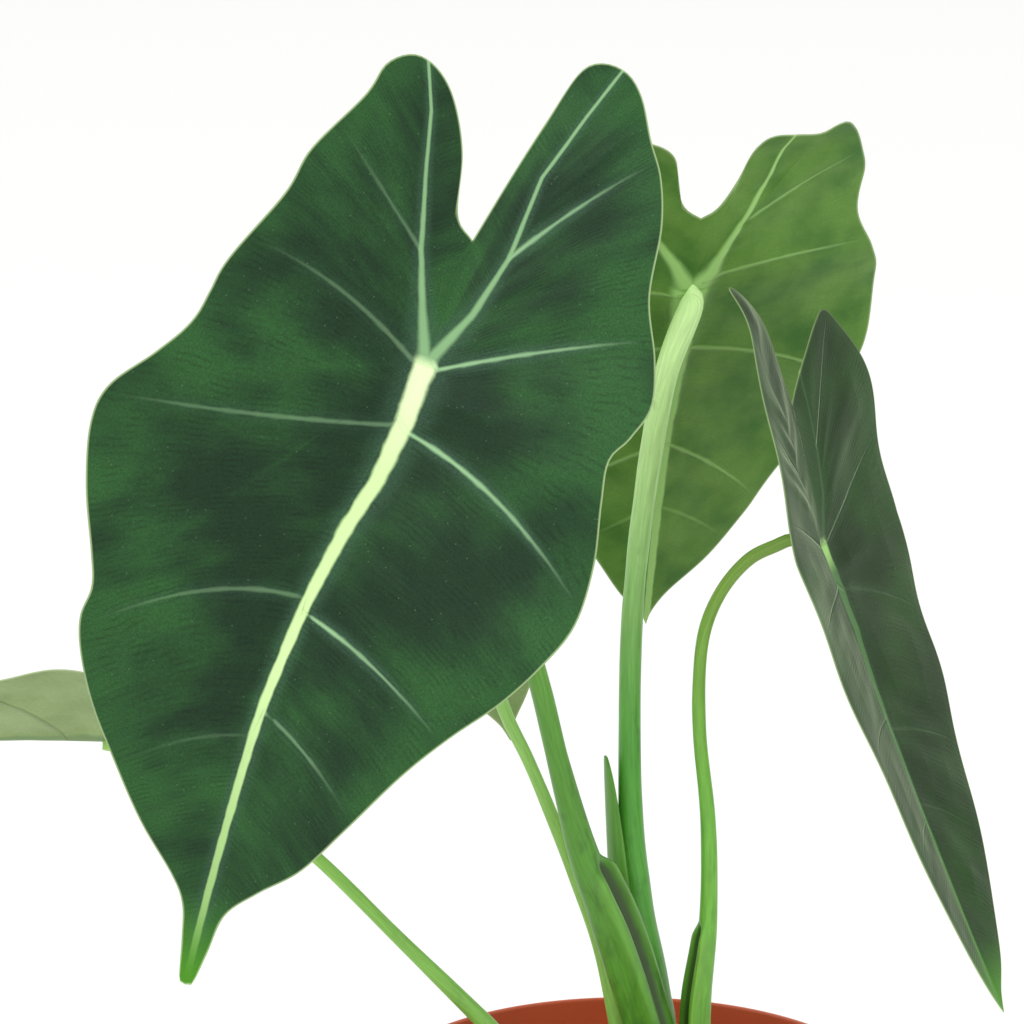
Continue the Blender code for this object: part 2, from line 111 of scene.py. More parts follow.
def copied_faces(faces, copies):
    """Faces of many copies of one mesh, whose vertices are given copy by copy as rows of an array."""
    starts = np.arange(len(copies))[:, None, None] * copies.shape[1]
    return [(starts + group).reshape(-1, group.shape[1]) for group in faces]


def lathe(profile, sides, centre=(0, 0)):
    """A closed solid of revolution: each (radius, height) row of the profile swept round, with a pole at
    either end."""
    angles = np.arange(sides) * 2 * math.pi / sides
    inner = np.array(profile, float)[1:-1]
    swept = np.empty((len(inner), sides, 3))
    swept[..., 0] = centre[0] + inner[:, :1] * np.cos(angles)
    swept[..., 1] = centre[1] + inner[:, :1] * np.sin(angles)
    swept[..., 2] = inner[:, 1:]
    poles = [(*centre, profile[0][1]), (*centre, profile[-1][1])]
    return np.vstack([poles, swept.reshape(-1, 3)]), tube_faces(len(inner), sides)


def make_piece(name, points, faces, materials, node=None, fields=None, indices=None, sharp=50):
    """A shaded mesh from points in millimetres and arrays of face corners. It rides on the root body and can
    replace a CAD node. fields are vectors kept at each point for a material to read, indices give each face
    its material, and edges bent by more than sharp degrees stay crisp."""
    mesh = bpy.data.meshes.new(name)
    mesh.from_pydata(points * MM, [], [corners for group in faces for corners in group.tolist()])
    for finish in materials:
        mesh.materials.append(finish)
    if indices is not None:
        mesh.polygons.foreach_set("material_index", indices)
    for field, values in (fields or {}).items():
        kept = mesh.attributes.new(field, "FLOAT_VECTOR", "POINT")
        kept.data.foreach_set("vector", np.ascontiguousarray(values, np.float32).ravel())
    mesh.shade_smooth()
    mesh.set_sharp_from_angle(angle=math.radians(sharp))
    piece = bpy.data.objects.new(name, mesh)
    bpy.context.scene.collection.objects.link(piece)
    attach(piece, "root")
    if node:
        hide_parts(node)
    return piece


def linear(code):
    """An sRGB hex colour as linear red, green, blue and alpha."""
    channels = np.array([int(code[i:i + 2], 16) for i in (1, 3, 5)]) / 255
    curved = ((channels + 0.055) / 1.055) ** 2.4
    return (*np.where(channels <= 0.04045, channels / 12.92, curved), 1.0)


def add(tree, kind, inputs=(), output=0, **settings):
    """Adds a shader node with its settings, links or sets its inputs, and returns one of its outputs."""
    node = tree.nodes.new("ShaderNode" + kind)
    for name, value in settings.items():
        setattr(node, name, value)
    for socket, value in dict(inputs).items():
        if isinstance(value, bpy.types.NodeSocket):
            tree.links.new(value, node.inputs[socket])
        else:
            node.inputs[socket].default_value = value
    return node.outputs[output] if node.outputs else node


def new_material(name):
    """An empty node material and its tree."""
    made = bpy.data.materials.new(name)
    made.use_nodes = True
    made.node_tree.nodes.clear()
    return made, made.node_tree


MIX = dict(data_type="RGBA", output=2)  # a colour mix: input 0 is the factor, 6 and 7 the colours


def plastic_material():
    """Terracotta polypropylene, injection moulded: an even brick orange with a satin skin, faint clouds about
    30 mm across where the melt flowed, and fine scuffs round it that break up its highlight."""
    made, tree = new_material("terracotta polypropylene")
    where = add(tree, "TexCoord", output=3)
    cloud = add(tree, "TexNoise", {"Vector": where, "Scale": 1 / (30 * MM), "Detail": 2.0})
    flattened = add(tree, "Mapping", {"Vector": where, "Scale": (1, 1, 6)})
    scuff = add(tree, "TexNoise", {"Vector": flattened, "Scale": 1 / (2.5 * MM), "Detail": 3.0})
    colour = add(tree, "Mix", {0: cloud, 6: linear("#c4502b"), 7: linear("#d25f35")}, **MIX)
    rough = add(tree, "MapRange", {0: scuff, 1: 0.3, 2: 0.7, 3: 0.36, 4: 0.5})
    bump = add(tree, "Bump", {"Strength": 0.2, "Distance": 0.05 * MM, "Height": scuff})
    shader = add(tree, "BsdfPrincipled", {"Base Color": colour, "Roughness": rough, "Normal": bump})
    add(tree, "OutputMaterial", {0: shader})
    return made


band_foot = POT_HEIGHT - POT_BAND
pot_profile = rounded([
    (0, 0), (BASE_RADIUS, 0), (side_radius(band_foot), band_foot), (POT_RADIUS, band_foot),
    (POT_RADIUS, POT_HEIGHT), (POT_RADIUS - POT_WALL, POT_HEIGHT),
    (POT_RADIUS - POT_WALL, band_foot + 2 * POT_WALL),
    (side_radius(band_foot) - POT_WALL, band_foot + POT_WALL),
    (side_radius(POT_FLOOR) - POT_WALL, POT_FLOOR), (0, POT_FLOOR),
], EDGE_ROUNDING)
points, faces = lathe(pot_profile, POT_SIDES)
pot = make_piece("pot_shell", points, faces, [plastic_material()], "pot", sharp=35)

# The drainage holes: eight round cutters at once, taken out of the base.
cutter_low, cutter_high = -POT_FLOOR, 2 * POT_FLOOR
cutter_profile = [(0, cutter_low), (DRAIN_RADIUS, cutter_low), (DRAIN_RADIUS, cutter_high), (0, cutter_high)]
hole_points, hole_faces = lathe(cutter_profile, DRAIN_SIDES)
turns = np.arange(DRAIN_HOLES) * 2 * math.pi / DRAIN_HOLES
places = DRAIN_CIRCLE * np.stack([np.cos(turns), np.sin(turns), np.zeros(DRAIN_HOLES)], axis=1)
hole_points = places[:, None] + hole_points
corners = [face for group in copied_faces(hole_faces, hole_points) for face in group.tolist()]
cutter_mesh = bpy.data.meshes.new("drain_cutter")
cutter_mesh.from_pydata(hole_points.reshape(-1, 3) * MM, [], corners)
cutter = bpy.data.objects.new("drain_cutter", cutter_mesh)
bpy.context.scene.collection.objects.link(cutter)
holes = pot.modifiers.new("drainage", "BOOLEAN")
holes.operation = "DIFFERENCE"
holes.object = cutter
drilled = bpy.data.meshes.new_from_object(pot.evaluated_get(bpy.context.evaluated_depsgraph_get()))
pot.modifiers.clear()
pot.data = drilled
bpy.data.objects.remove(cutter)

# ==================================================================== the soil
# Damp peat-based potting soil, filled by hand to a little under the rim: a crumbly dark top with bits of bark
# and a few grains of white perlite lying on it.
soil_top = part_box("soil")[1][2] / MM
soil_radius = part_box("soil")[1][0] / MM
SOIL_GAP = 0.2
SOIL_FOOT = 2.5
SOIL_SHOULDER = 6.0
SOIL_BEVEL = 3.0
SOIL_DOME = 3.0
SOIL_SETTLED = 0.6
SOIL_ROUGHNESS = [(0.9, 7, 1), (0.6, 2.6, 2), (0.4, 1.2, 3)]  # depth, cell and seed of clods, lumps, crumbs
SOIL_SIDES = 240
SOIL_ROWS = 80
LATTICE = 64
CHIPS = 420
CHIP_SHAPE = np.array([1.5, 0.8, 0.45])  # a chip's half length, width and height, as shares of its size
PERLITE_FROM = 0.92  # of chips numbered from 0 to 1, those above are perlite
CORM_CLEAR = 19.0

# The crown is the spot on top of the corm where all five leaves start.
corm_low, corm_high = (np.array(corner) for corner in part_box("corm"))
CROWN = np.array([*(corm_low + corm_high)[:2] / 2, corm_high[2] + 0.3 * MM]) / MM


def lattice_noise(points, cell, seed):
    """Smooth noise from -1 to 1: seeded random values on a lattice with cells of that size in millimetres,
    blended by smoothstep weights."""
    table = np.random.default_rng(seed).uniform(-1, 1, (LATTICE, LATTICE, LATTICE))
    p = np.asarray(points, float) / cell
    base = np.floor(p).astype(int)
    f = p - base
    f = f * f * (3 - 2 * f)
    total = 0
    for corner in range(8):
        step = np.array([corner & 1, corner >> 1 & 1, corner >> 2 & 1])
        i, j, k = ((base + step) % LATTICE).T
        total = total + np.prod(np.where(step == 1, f, 1 - f), axis=1) * table[i, j, k]
    return total


def soil_height(x, y):
    """A low dome with three sizes of lattice noise on it, from clods down to crumbs."""
    flat = np.stack([x, y, np.zeros_like(x)], axis=1)
    rough = sum(depth * lattice_noise(flat, cell, seed) for depth, cell, seed in SOIL_ROUGHNESS)
    return soil_top - SOIL_DOME * (x**2 + y**2) / soil_radius**2 + rough - SOIL_SETTLED


def peat_material():
    """Peat, milled and wetted: crumbs and fibres of a brown that is nearly black, matt all over. The fine
    noise draws crumbs of about 1.4 mm, the broad one the damper and drier patches, 9 mm across."""
    made, tree = new_material("damp peat potting soil")
    where = add(tree, "TexCoord", output=3)
    crumb = add(tree, "TexNoise", {"Vector": where, "Scale": 1 / (1.4 * MM), "Detail": 4.0})
    patch = add(tree, "TexNoise", {"Vector": where, "Scale": 1 / (9 * MM), "Detail": 2.0})
    fine = add(tree, "MapRange", {0: crumb, 1: 0.35, 2: 0.7})
    colour = add(tree, "Mix", {0: fine, 6: linear("#1d140e"), 7: linear("#4a3524")}, **MIX)
    colour = add(tree, "Mix", {0: patch, 6: colour, 7: linear("#33241a")}, **MIX)
    bump = add(tree, "Bump", {"Strength": 0.8, "Distance": 0.5 * MM, "Height": crumb})
    shader = add(tree, "BsdfPrincipled", {"Base Color": colour, "Roughness": 0.9, "Normal": bump})
    add(tree, "OutputMaterial", {0: shader})
    return made


def crumb_material():
    """Chips of composted bark and grains of expanded perlite, broken and rough, so nothing on them shines.
    Each chip has its own brown, and one in twelve is chalk white perlite."""
    made, tree = new_material("bark chips and perlite")
    kind = add(tree, "SeparateXYZ", {0: add(tree, "Attribute", output=1, attribute_name="chip")})
    where = add(tree, "TexCoord", output=3)
    grain = add(tree, "TexNoise", {"Vector": where, "Scale": 1 / (0.8 * MM), "Detail": 3.0})
    bark = add(tree, "Mix", {0: kind, 6: linear("#2b1c12"), 7: linear("#6b4a30")}, **MIX)
    white = add(tree, "Math", {0: kind, 1: PERLITE_FROM}, operation="GREATER_THAN")
    colour = add(tree, "Mix", {0: white, 6: bark, 7: linear("#d8d4c8")}, **MIX)
    value = add(tree, "MapRange", {0: grain, 1: 0.3, 2: 0.7, 3: 0.75, 4: 1.15})
    colour = add(tree, "HueSaturation", {"Value": value, "Color": colour})
    bump = add(tree, "Bump", {"Strength": 0.6, "Distance": 0.3 * MM, "Height": grain})
    shader = add(tree, "BsdfPrincipled", {"Base Color": colour, "Roughness": 0.85, "Normal": bump})
    add(tree, "OutputMaterial", {0: shader})
    return made


reach = np.linspace(1, 0, SOIL_ROWS)[:, None] ** 0.8
soil_profile = np.vstack([
    [(0, SOIL_FOOT), (side_radius(SOIL_FOOT) - POT_WALL - SOIL_BEVEL, SOIL_FOOT),
     (side_radius(SOIL_SHOULDER) - POT_WALL - 2 * SOIL_GAP, SOIL_SHOULDER)],
    np.hstack([reach * (soil_radius - SOIL_GAP), np.zeros((SOIL_ROWS, 1))]),
])
points, faces = lathe(soil_profile, SOIL_SIDES)
surface = np.arange(len(points)) >= 2 + 2 * SOIL_SIDES
surface[1] = True
points[surface, 2] = soil_height(*points[surface, :2].T)
make_piece("soil_top", points, faces, [peat_material()], "soil", sharp=80)

# The chips: low seven-sided pebbles, each stretched, spun and tipped its own way, half sunk in the soil.
rng = np.random.default_rng(11)
chip_points, chip_faces = lathe([(0, -1), (0.75, -0.6), (1, 0.1), (0.6, 0.75), (0, 0.95)], 7)
angle = rng.uniform(0, 2 * math.pi, CHIPS)
distance = np.sqrt(rng.uniform(0, 1, CHIPS)) * (soil_radius - 3)
x, y = distance * np.cos(angle), distance * np.sin(angle)
clear = np.hypot(x - CROWN[0], y - CROWN[1]) > CORM_CLEAR
x, y = x[clear], y[clear]
kinds = rng.uniform(0, 1, len(x))
size = rng.uniform(0.5, 1.9, (len(x), 1)) * CHIP_SHAPE
size = np.where(kinds[:, None] > PERLITE_FROM, size.mean(axis=1, keepdims=True) * 0.8, size)
spin, tip = rng.uniform(0, 2 * math.pi, len(x)), rng.uniform(-0.5, 0.5, len(x))
turned = np.zeros((len(x), 3, 3))
turned[:, 0] = np.stack([np.cos(spin), np.sin(spin), np.zeros(len(x))], axis=1)
turned[:, 1] = np.stack([-np.sin(spin) * np.cos(tip), np.cos(spin) * np.cos(tip), np.sin(tip)], axis=1)
turned[:, 2] = np.cross(turned[:, 0], turned[:, 1])
chips = (chip_points + rng.uniform(-0.15, 0.15, (len(x), len(chip_points), 3))) * size[:, None]
chips = chips @ turned + np.stack([x, y, soil_height(x, y) + 0.5 * size[:, 2]], axis=1)[:, None]
faces = copied_faces(chip_faces, chips)
kinds = np.repeat(kinds, len(chip_points))[:, None] * np.ones(3)
make_piece("soil_chips", chips.reshape(-1, 3), faces, [crumb_material()], fields={"chip": kinds})

# ==================================================================== the corm
# The woody corm that the leaves grow from: a short brown stump, ringed by the scars of old leaves and wrapped
# in the papery remains of their bases. Only its top shows above the soil.
CORM_SIDES = 96
CORM_ROWS = 90
SCAR_SPACING = 4.2
SCAR_DEPTH = 0.35
SKIN_ROUGHNESS = 0.5
CURVE_STEPS = 12  # between two given points of a curve


def smooth_curve(points, count):
    """That many points, evenly spaced by length, along the Catmull-Rom cubic through all the given ones. The
    first three columns are a place; any others, such as a radius, go along with it."""
    p = np.asarray(points, float)
    p = np.vstack([2 * p[0] - p[1], p, 2 * p[-1] - p[-2]])
    u = np.linspace(0, 1, CURVE_STEPS, endpoint=False)[:, None]
    fine = []
    for a, b, c, d in zip(p[:-3], p[1:-2], p[2:-1], p[3:]):
        cubic = (3 * b - a - 3 * c + d) * u**3
        fine.append(0.5 * (2 * b + (c - a) * u + (2 * a - 5 * b + 4 * c - d) * u**2 + cubic))
    fine = np.vstack([*fine, p[-2:-1]])
    steps = np.linalg.norm(np.diff(fine[:, :3], axis=0), axis=1)
    along = np.concatenate([[0], np.cumsum(steps)])
    at = np.linspace(0, along[-1], count)
    return np.stack([np.interp(at, along, column) for column in fine.T], axis=1)


def corm_material():
    """Dry corm skin, left by old leaf bases: matt brown fibres that run upwards, with paler torn flakes."""
    made, tree = new_material("papery corm skin")
    where = add(tree, "TexCoord", output=3)
    upright = add(tree, "Mapping", {"Vector": where, "Scale": (3, 3, 1)})
    fibre = add(tree, "TexNoise", {"Vector": upright, "Scale": 1 / (3 * MM), "Detail": 4.0})
    flake = add(tree, "MapRange", {0: fibre, 1: 0.4, 2: 0.65})
    colour = add(tree, "Mix", {0: flake, 6: linear("#3a2a18"), 7: linear("#8a7048")}, **MIX)
    bump = add(tree, "Bump", {"Strength": 0.7, "Distance": 0.4 * MM, "Height": fibre})
    shader = add(tree, "BsdfPrincipled", {"Base Color": colour, "Roughness": 0.8, "Normal": bump})
    add(tree, "OutputMaterial", {0: shader})
    return made


corm_radius = (corm_high - corm_low)[0] / 2 / MM
low, high = corm_low[2] / MM, corm_high[2] / MM
depth = high - low
corm_profile = smooth_curve([
    (0, low, 0), (corm_radius * 0.55, low + depth * 0.05, 0), (corm_radius * 0.88, low + depth * 0.25, 0),
    (corm_radius, low + depth * 0.55, 0), (corm_radius, high - corm_radius * 0.12, 0),
    (corm_radius * 0.9, high - 0.3, 0), (0, high, 0),
], CORM_ROWS)[:, :2]
corm_profile[0, 0] = corm_profile[-1, 0] = 0
points, faces = lathe(corm_profile, CORM_SIDES, CROWN[:2])
outward = unit((points - [CROWN[0], CROWN[1], (low + high) / 2]) * [1, 1, 0.6])
scars = SCAR_DEPTH * np.abs(np.sin(points[:, 2] * math.pi / SCAR_SPACING)) ** 3
points -= outward * (scars + SKIN_ROUGHNESS * (1 - lattice_noise(points, 4, 5)))[:, None]
make_piece("corm_stump", points, faces, [corm_material()], "corm", sharp=80)

# ==================================================================== the leaf blades
# Five arrow-shaped blades, thin living leaf about half a millimetre thick. The three dark ones have a velvety
# upper side with a broad pale midrib; each is folded a little along it, and arched and waved as it grew.
BLADE_HALF = 0.24  # half of the leaf's thickness
RIB = 4.0  # how far from the midrib the fold is rounded
SWELL = 0.6  # height of the swelling between two side veins
PUCKER = 0.35  # and of the fine puckers on it
CHANNEL = 0.12  # depth of the channel over the midrib
MIDRIB_HALF, MIDRIB_END = 2.8, 0.7  # half widths at the joint and far from it
LOBE_HALF, LOBE_END = 1.15, 0.35
SIDE_HALF = 0.45
MIDRIB_RISE = 1.9  # how far the main veins stand out of the underside at the joint
LOBE_RISE = 1.2
JOINT_RISE = 0.9  # more for a lobe's vein within a few millimetres of the joint
FINE_SPACING = 1.35  # between the fine parallel veins
WANDER = 0.22  # per millimetre: vein edges wander over about 4.5 mm
SWAY = 0.1  # per millimetre: fine veins sway over about 10 mm
STEP = 0.05  # to the neighbouring points that give a blade's normal
HALVINGS = 24

# One row a leaf. joint: where stalk and blade meet, from the crown. faces: azimuth from +Y towards +X, and
# elevation, of the upper side. turn: swing of the tip. length: joint to tip. fold: how far each half tilts
# up. arch, back: how far the tip and the lobes bend down; degrees, like turn and fold. bend: how far the
# middle bows sideways. wave, waves: height of the margin's ripples and their number up to the tip. curl: how
# far the lobes curl back 10 mm beyond curl_from. left_veins: strength of the side veins on the left half.
# right, left: the flat outline from the notch, round a lobe, to the tip; with no left, it mirrors the right.
# stalk: x, y, z, radius, from the crown. sheath: the height it reaches, and how far its edges stand out
# there and at its foot. opens: the way its open side faces.
LEAVES = {
    "front": dict(
        joint=(-53.9, -56, 194.7), faces=(177, 12), turn=-21.5, length=150, fold=14, arch=17, back=0,
        bend=-6, wave=1.5, waves=3, curl=1.5, curl_from=56, left_veins=0.3,
        right=[(0, -29), (3, -45), (6, -59), (9, -71), (13, -75), (19, -75), (24, -71), (29, -63),
               (34, -56), (38, -46), (41, -31), (47, -19), (50, -9), (48, -1), (46, 5), (49, 14), (54, 27),
               (56, 40), (53, 51), (48, 62), (41, 73), (34, 85), (26, 101), (19, 114), (11, 123), (5, 131),
               (3.2, 141), (1.6, 149), (0, 150)],
        left=[(0, -29), (-5, -33), (-9, -46), (-15, -56), (-21, -61), (-27, -62), (-32, -58), (-34, -50),
              (-41, -35), (-43, -24), (-50, -5), (-51, 8), (-55, 17), (-61, 27), (-61, 36), (-56, 49),
              (-49, 62), (-46, 69), (-46, 76), (-43, 84), (-37, 94), (-29, 104), (-19, 116), (-9, 126),
              (-5, 132), (-3.2, 140), (-1.6, 149), (0, 150)],
        stalk=[(2, -6, 0, 5), (-1.6, -6, 15.7, 5), (-4.8, -6.3, 27.7, 5), (-11.2, -7.5, 47.7, 4.8),
               (-18.2, -10, 66.7, 3.6), (-24, -15, 89.7, 2.6), (-29, -21, 112.7, 2.4),
               (-37, -32, 143.7, 2.4), (-46, -45, 174.7, 2.5)],
        sheath=(66.7, 0.85, 0.25), opens=(1, -0.3, 0),
    ),
    "young": dict(
        joint=(-44, -3, 140.7), faces=(-12, 17), turn=-12, length=55, fold=18, arch=8, back=0,
        bend=0, wave=0.6, waves=2, curl=0, curl_from=30,
        right=[(0, -9), (3, -17), (7, -24), (11, -25), (14, -20), (17, -12), (19, -2), (20, 8), (18, 20),
               (13, 32), (7, 43), (2, 50), (0, 55)],
        stalk=[(-7.5, 3, 0, 3.4), (-9, 2, 15.7, 2.5), (-13, 1.4, 36.7, 2.1), (-17.7, 0.8, 51.7, 1.8),
               (-24.8, -0.5, 71.2, 1.6), (-31.1, -3, 87.7, 1.5), (-36.6, -6, 100.7, 1.6),
               (-42, -8.5, 118.7, 1.7)],
        sheath=(20.7, 0.15, 0.15), opens=(0.5, 0.8, 0),
    ),
    "back": dict(
        joint=(6.5, 34, 191.7), faces=(-10, 32), turn=0, length=108, fold=14, arch=9, back=5,
        bend=0, wave=1.5, waves=3, curl=3, curl_from=36,
        right=[(0, -22), (4, -25), (6, -30), (8, -40), (13, -45), (19, -45), (27, -40), (34, -30),
               (38, -17), (42, -5), (46, 8), (48, 24), (44, 40), (36, 56), (27, 70), (19, 81), (13, 90),
               (7, 99), (2, 104), (0, 108)],
        left=[(0, -22), (-4, -25), (-8, -33), (-11, -43), (-14, -48), (-20, -46), (-27, -44), (-32, -48),
              (-36, -43), (-39, -35), (-41, -27), (-41, -14), (-46, -3), (-49, 8), (-49, 28), (-41, 50),
              (-29, 67), (-23, 78), (-15, 89), (-5, 98), (-1, 104), (0, 108)],
        stalk=[(1.5, 7.5, 0, 4.8), (-0.2, 7, 12.7, 4.7), (-2.6, 6, 30.7, 4.4), (-5.7, 5.5, 50.7, 3.7),
               (-7.2, 6, 70.7, 2.9), (-7.6, 7.5, 89.7, 2.6), (-7.3, 10.5, 112.7, 2.5), (-6, 13, 131.7, 2.5),
               (-3, 17.5, 154.7, 2.6), (1, 24, 174.2, 2.8)],
        sheath=(27.7, 0.12, 0.12), opens=(0.4, 1, 0),
    ),
    "right": dict(
        joint=(36.3, -1, 139.1), faces=(111, 14), turn=-4, length=116, fold=8, arch=-21, back=-9,
        bend=11, wave=1, waves=3, curl=2, curl_from=50,
        right=[(0, -33), (5, -37), (13, -43), (22, -49), (28, -51), (33, -46), (38, -37), (40, -26),
               (39, -11), (38, 4), (38, 17), (35, 32), (31, 48), (28, 63), (23, 78), (17, 93), (10, 105),
               (3, 112), (0, 116)],
        left=[(0, -33), (-2, -40), (-4, -49), (-8, -58), (-13, -63), (-17, -62), (-19, -55), (-22, -44),
              (-25, -31), (-26, -18), (-27, -5), (-26, 11), (-25, 29), (-22, 48), (-18, 66), (-14, 84),
              (-8, 100), (-3, 111), (0, 116)],
        stalk=[(11.5, 0, 0, 3.8), (9, 0, 12.7, 3.4), (8.8, 0, 27.7, 2.9), (10.8, -0.5, 47.7, 2.1),
               (10.6, -1, 71.7, 1.8), (8.5, -1, 92.7, 1.6), (8.2, -1, 106.7, 1.5), (9.4, -1, 118.7, 1.5),
               (13.3, -1, 128.3, 1.5), (19.2, -1, 135.5, 1.5), (25.3, -1, 138.8, 1.5), (30, -1, 140.3, 1.5)],
        sheath=(48.7, 0.9, 0.4), opens=(-1, -0.3, 0),
    ),
    "left": dict(
        joint=(-128.5, 11, 89.7), faces=(-1, 70), turn=82, length=105, fold=16, arch=2, back=0,
        bend=0, wave=1.2, waves=3, curl=2, curl_from=40,
        right=[(0, -20), (6, -32), (12, -45), (20, -53), (28, -52), (35, -42), (41, -28), (44, -12),
               (46, 6), (45, 22), (41, 38), (35, 52), (27, 66), (18, 80), (9, 93), (3, 101), (0, 105)],
        stalk=[(-10.5, -6, 0, 3.7), (-19, -6.5, 5.7, 3.3), (-33, -7, 15.7, 2.7), (-42.5, -8, 26.7, 2.1),
               (-61, -8.5, 46.1, 1.6), (-80.7, -5, 65.3, 1.5), (-100.5, 1, 79.7, 1.5), (-117, 7, 86.7, 1.5)],
        sheath=(24.7, 0.5, 0.2), opens=(0.6, 0, 0.8),
    ),
}
for leaf in LEAVES.values():
    leaf.setdefault("left", [(-x, y) for x, y in leaf["right"]])

# Where the veins run on a flat blade, drawn for a blade 150 mm from joint to tip and scaled to each. Rows are
# the side veins: number, distance out and station where it leaves its main vein, slope and curve. Only the
# whole numbers in DRAWN_VEINS are drawn as side veins; the finer veins run between them.
DRAWN_SIZE = 150
DRAWN_VEINS = (-1, 3)
INNER_SLOPE = 0.8  # of the fine veins between a lobe's main vein and the notch
VEINS = dict(
    midrib=[(0, -30), (0, 0), (2, 14), (2.5, 27), (1, 40), (0, 57), (-0.5, 84), (0, 107), (0, 150)],
    right=[(-3.5, 16, -120, -1.6, 0), (-2, 14, -63, -1.6, 0), (-1, 9, -28, -1.65, 0.013),
           (0, 3, 0, -0.62, 0.002), (1, 3, 15, 0.13, 0.0055), (2, 0, 60, 0.18, 0.005),
           (3, 0, 84, 0.3, 0.01), (4, 0, 118, 0.4, 0.012), (5.5, 0, 190, 0.5, 0.012)],
    left=[(-3.5, 24, -110, -0.9, 0), (-2, 19, -52, -0.9, 0), (-1, 10, -23, -0.72, 0), (0, 3, 0, -0.55, 0.006),
          (1, 1, 15, 0.3, -0.0012), (2, 1, 57, 0.05, 0.0095), (3, 0, 90, 0.2, 0.012),
          (4, 0, 120, 0.4, 0.012), (5.5, 0, 190, 0.5, 0.012)],
    lobe_right=[(0, 0), (6, -14), (9, -28), (9.5, -47), (14, -63), (19, -78)],
    lobe_left=[(0, 0), (-5, -11), (-10, -23), (-15, -38), (-19, -52), (-25, -65)],
)
VEINS_OF = {
    "back": dict(
        midrib=[(0, -30), (0, 0), (1, 60), (0, 150)],
        right=[(-3.5, 24, -110, -0.8, 0), (-2, 20, -55, -0.8, 0), (-1, 12, -26, -0.5, 0),
               (0, 4, 3, 0.1, 0.002), (1, 0, 26, 0.25, 0.004), (2, 0, 70, 0.5, 0.006),
               (3, 0, 98, 0.5, 0.01), (4, 0, 124, 0.5, 0.012), (5.5, 0, 190, 0.5, 0.012)],
        left=[(-3.5, 24, -110, -0.8, 0), (-2, 20, -55, -0.8, 0), (-1, 14, -25, -0.6, 0),
              (0, 4, -4, -0.12, 0.001), (1, 0, 26, 0.25, 0.003), (2, 0, 70, 0.6, 0.008),
              (3, 0, 98, 0.5, 0.01), (4, 0, 124, 0.5, 0.012), (5.5, 0, 190, 0.5, 0.012)],
        lobe_right=[(0, 0), (6, -10), (13, -19), (19, -34), (25, -56), (28, -68)],
        lobe_left=[(0, 0), (-6, -7), (-14, -25), (-21, -40), (-25, -56), (-30, -72)],
    ),
}


def facing(azimuth, elevation, turn):
    """The across, along and upward directions of a blade. Upward has that azimuth, from +Y towards +X, and
    that elevation; along is the steepest way down the blade, swung about upward by turn."""
    a, e, t = np.radians([azimuth, elevation, turn])
    upward = np.array([np.sin(a) * np.cos(e), np.cos(a) * np.cos(e), np.sin(e)])
    straight = unit(np.array([0, 0, -1]) + upward * upward[2])
    along = np.cos(t) * straight + np.sin(t) * np.cross(upward, straight)
    return np.cross(upward, along), along, upward


def bent(leaf, u, v):
    """Where flat point (u across, v along) goes, as across, along and upward: each half is tilted up by the
    fold with its corner at the midrib rounded, the margin rippled by a sine, the lobe tips curled back by a
    parabola, and the whole bent along its length by a slope that grows evenly."""
    fold = math.radians(leaf["fold"])
    reach = np.sqrt(u * u + RIB * RIB) - RIB
    across = u - np.sign(u) * reach * (1 - math.cos(fold))
    upward = reach * math.sin(fold)
    across = across + leaf["bend"] * np.sin(np.pi * np.clip(v / leaf["length"], 0, 1))
    half_width = max(abs(p[0]) for p in leaf["right"])
    ripple = np.sin(2 * np.pi * leaf["waves"] * v / leaf["length"] + np.tanh(u / RIB))
    upward = upward + leaf["wave"] * (u / half_width) ** 2 * ripple
    upward = upward - leaf["curl"] * (np.clip(-v - leaf["curl_from"], 0, None) / 10) ** 2
    arch = math.radians(leaf["arch"]) / leaf["length"] ** 2
    back = math.radians(leaf["back"]) / leaf["length"] ** 2
    path = np.linspace(-leaf["length"], 1.1 * leaf["length"], 400)
    slope = np.where(path > 0, arch, -back) * path * leaf["length"]
    step = path[1] - path[0]
    run, drop = np.cumsum(np.cos(slope)) * step, np.cumsum(np.sin(slope)) * step
    run = np.interp(v, path, run) - np.interp(0, path, run)
    drop = np.interp(v, path, drop) - np.interp(0, path, drop)
    tilt = np.interp(v, path, slope)
    return np.stack([across, run + upward * np.sin(tilt), upward * np.cos(tilt) - drop], axis=-1)


def blade_point(leaf, u, v):
    """The bent point turned to face the blade's way and moved to its joint."""
    return CROWN + np.array(leaf["joint"]) + bent(leaf, u, v) @ np.stack(facing(*leaf["faces"], leaf["turn"]))


def signed_distance(points, curve):
    """Distance from each point to the nearest straight piece of the curve, negative on its right."""
    a = np.array(curve[:-1])
    d = np.array(curve[1:]) - a
    offset = points[:, None] - a
    share = np.clip((offset * d).sum(-1) / (d * d).sum(-1), 0, 1)
    away = np.linalg.norm(offset - share[..., None] * d, axis=-1)
    nearest = away.argmin(axis=1)
    rows = np.arange(len(points))
    cross = d[nearest, 0] * offset[rows, nearest, 1] - d[nearest, 1] * offset[rows, nearest, 0]
    return away[rows, nearest] * np.sign(cross)


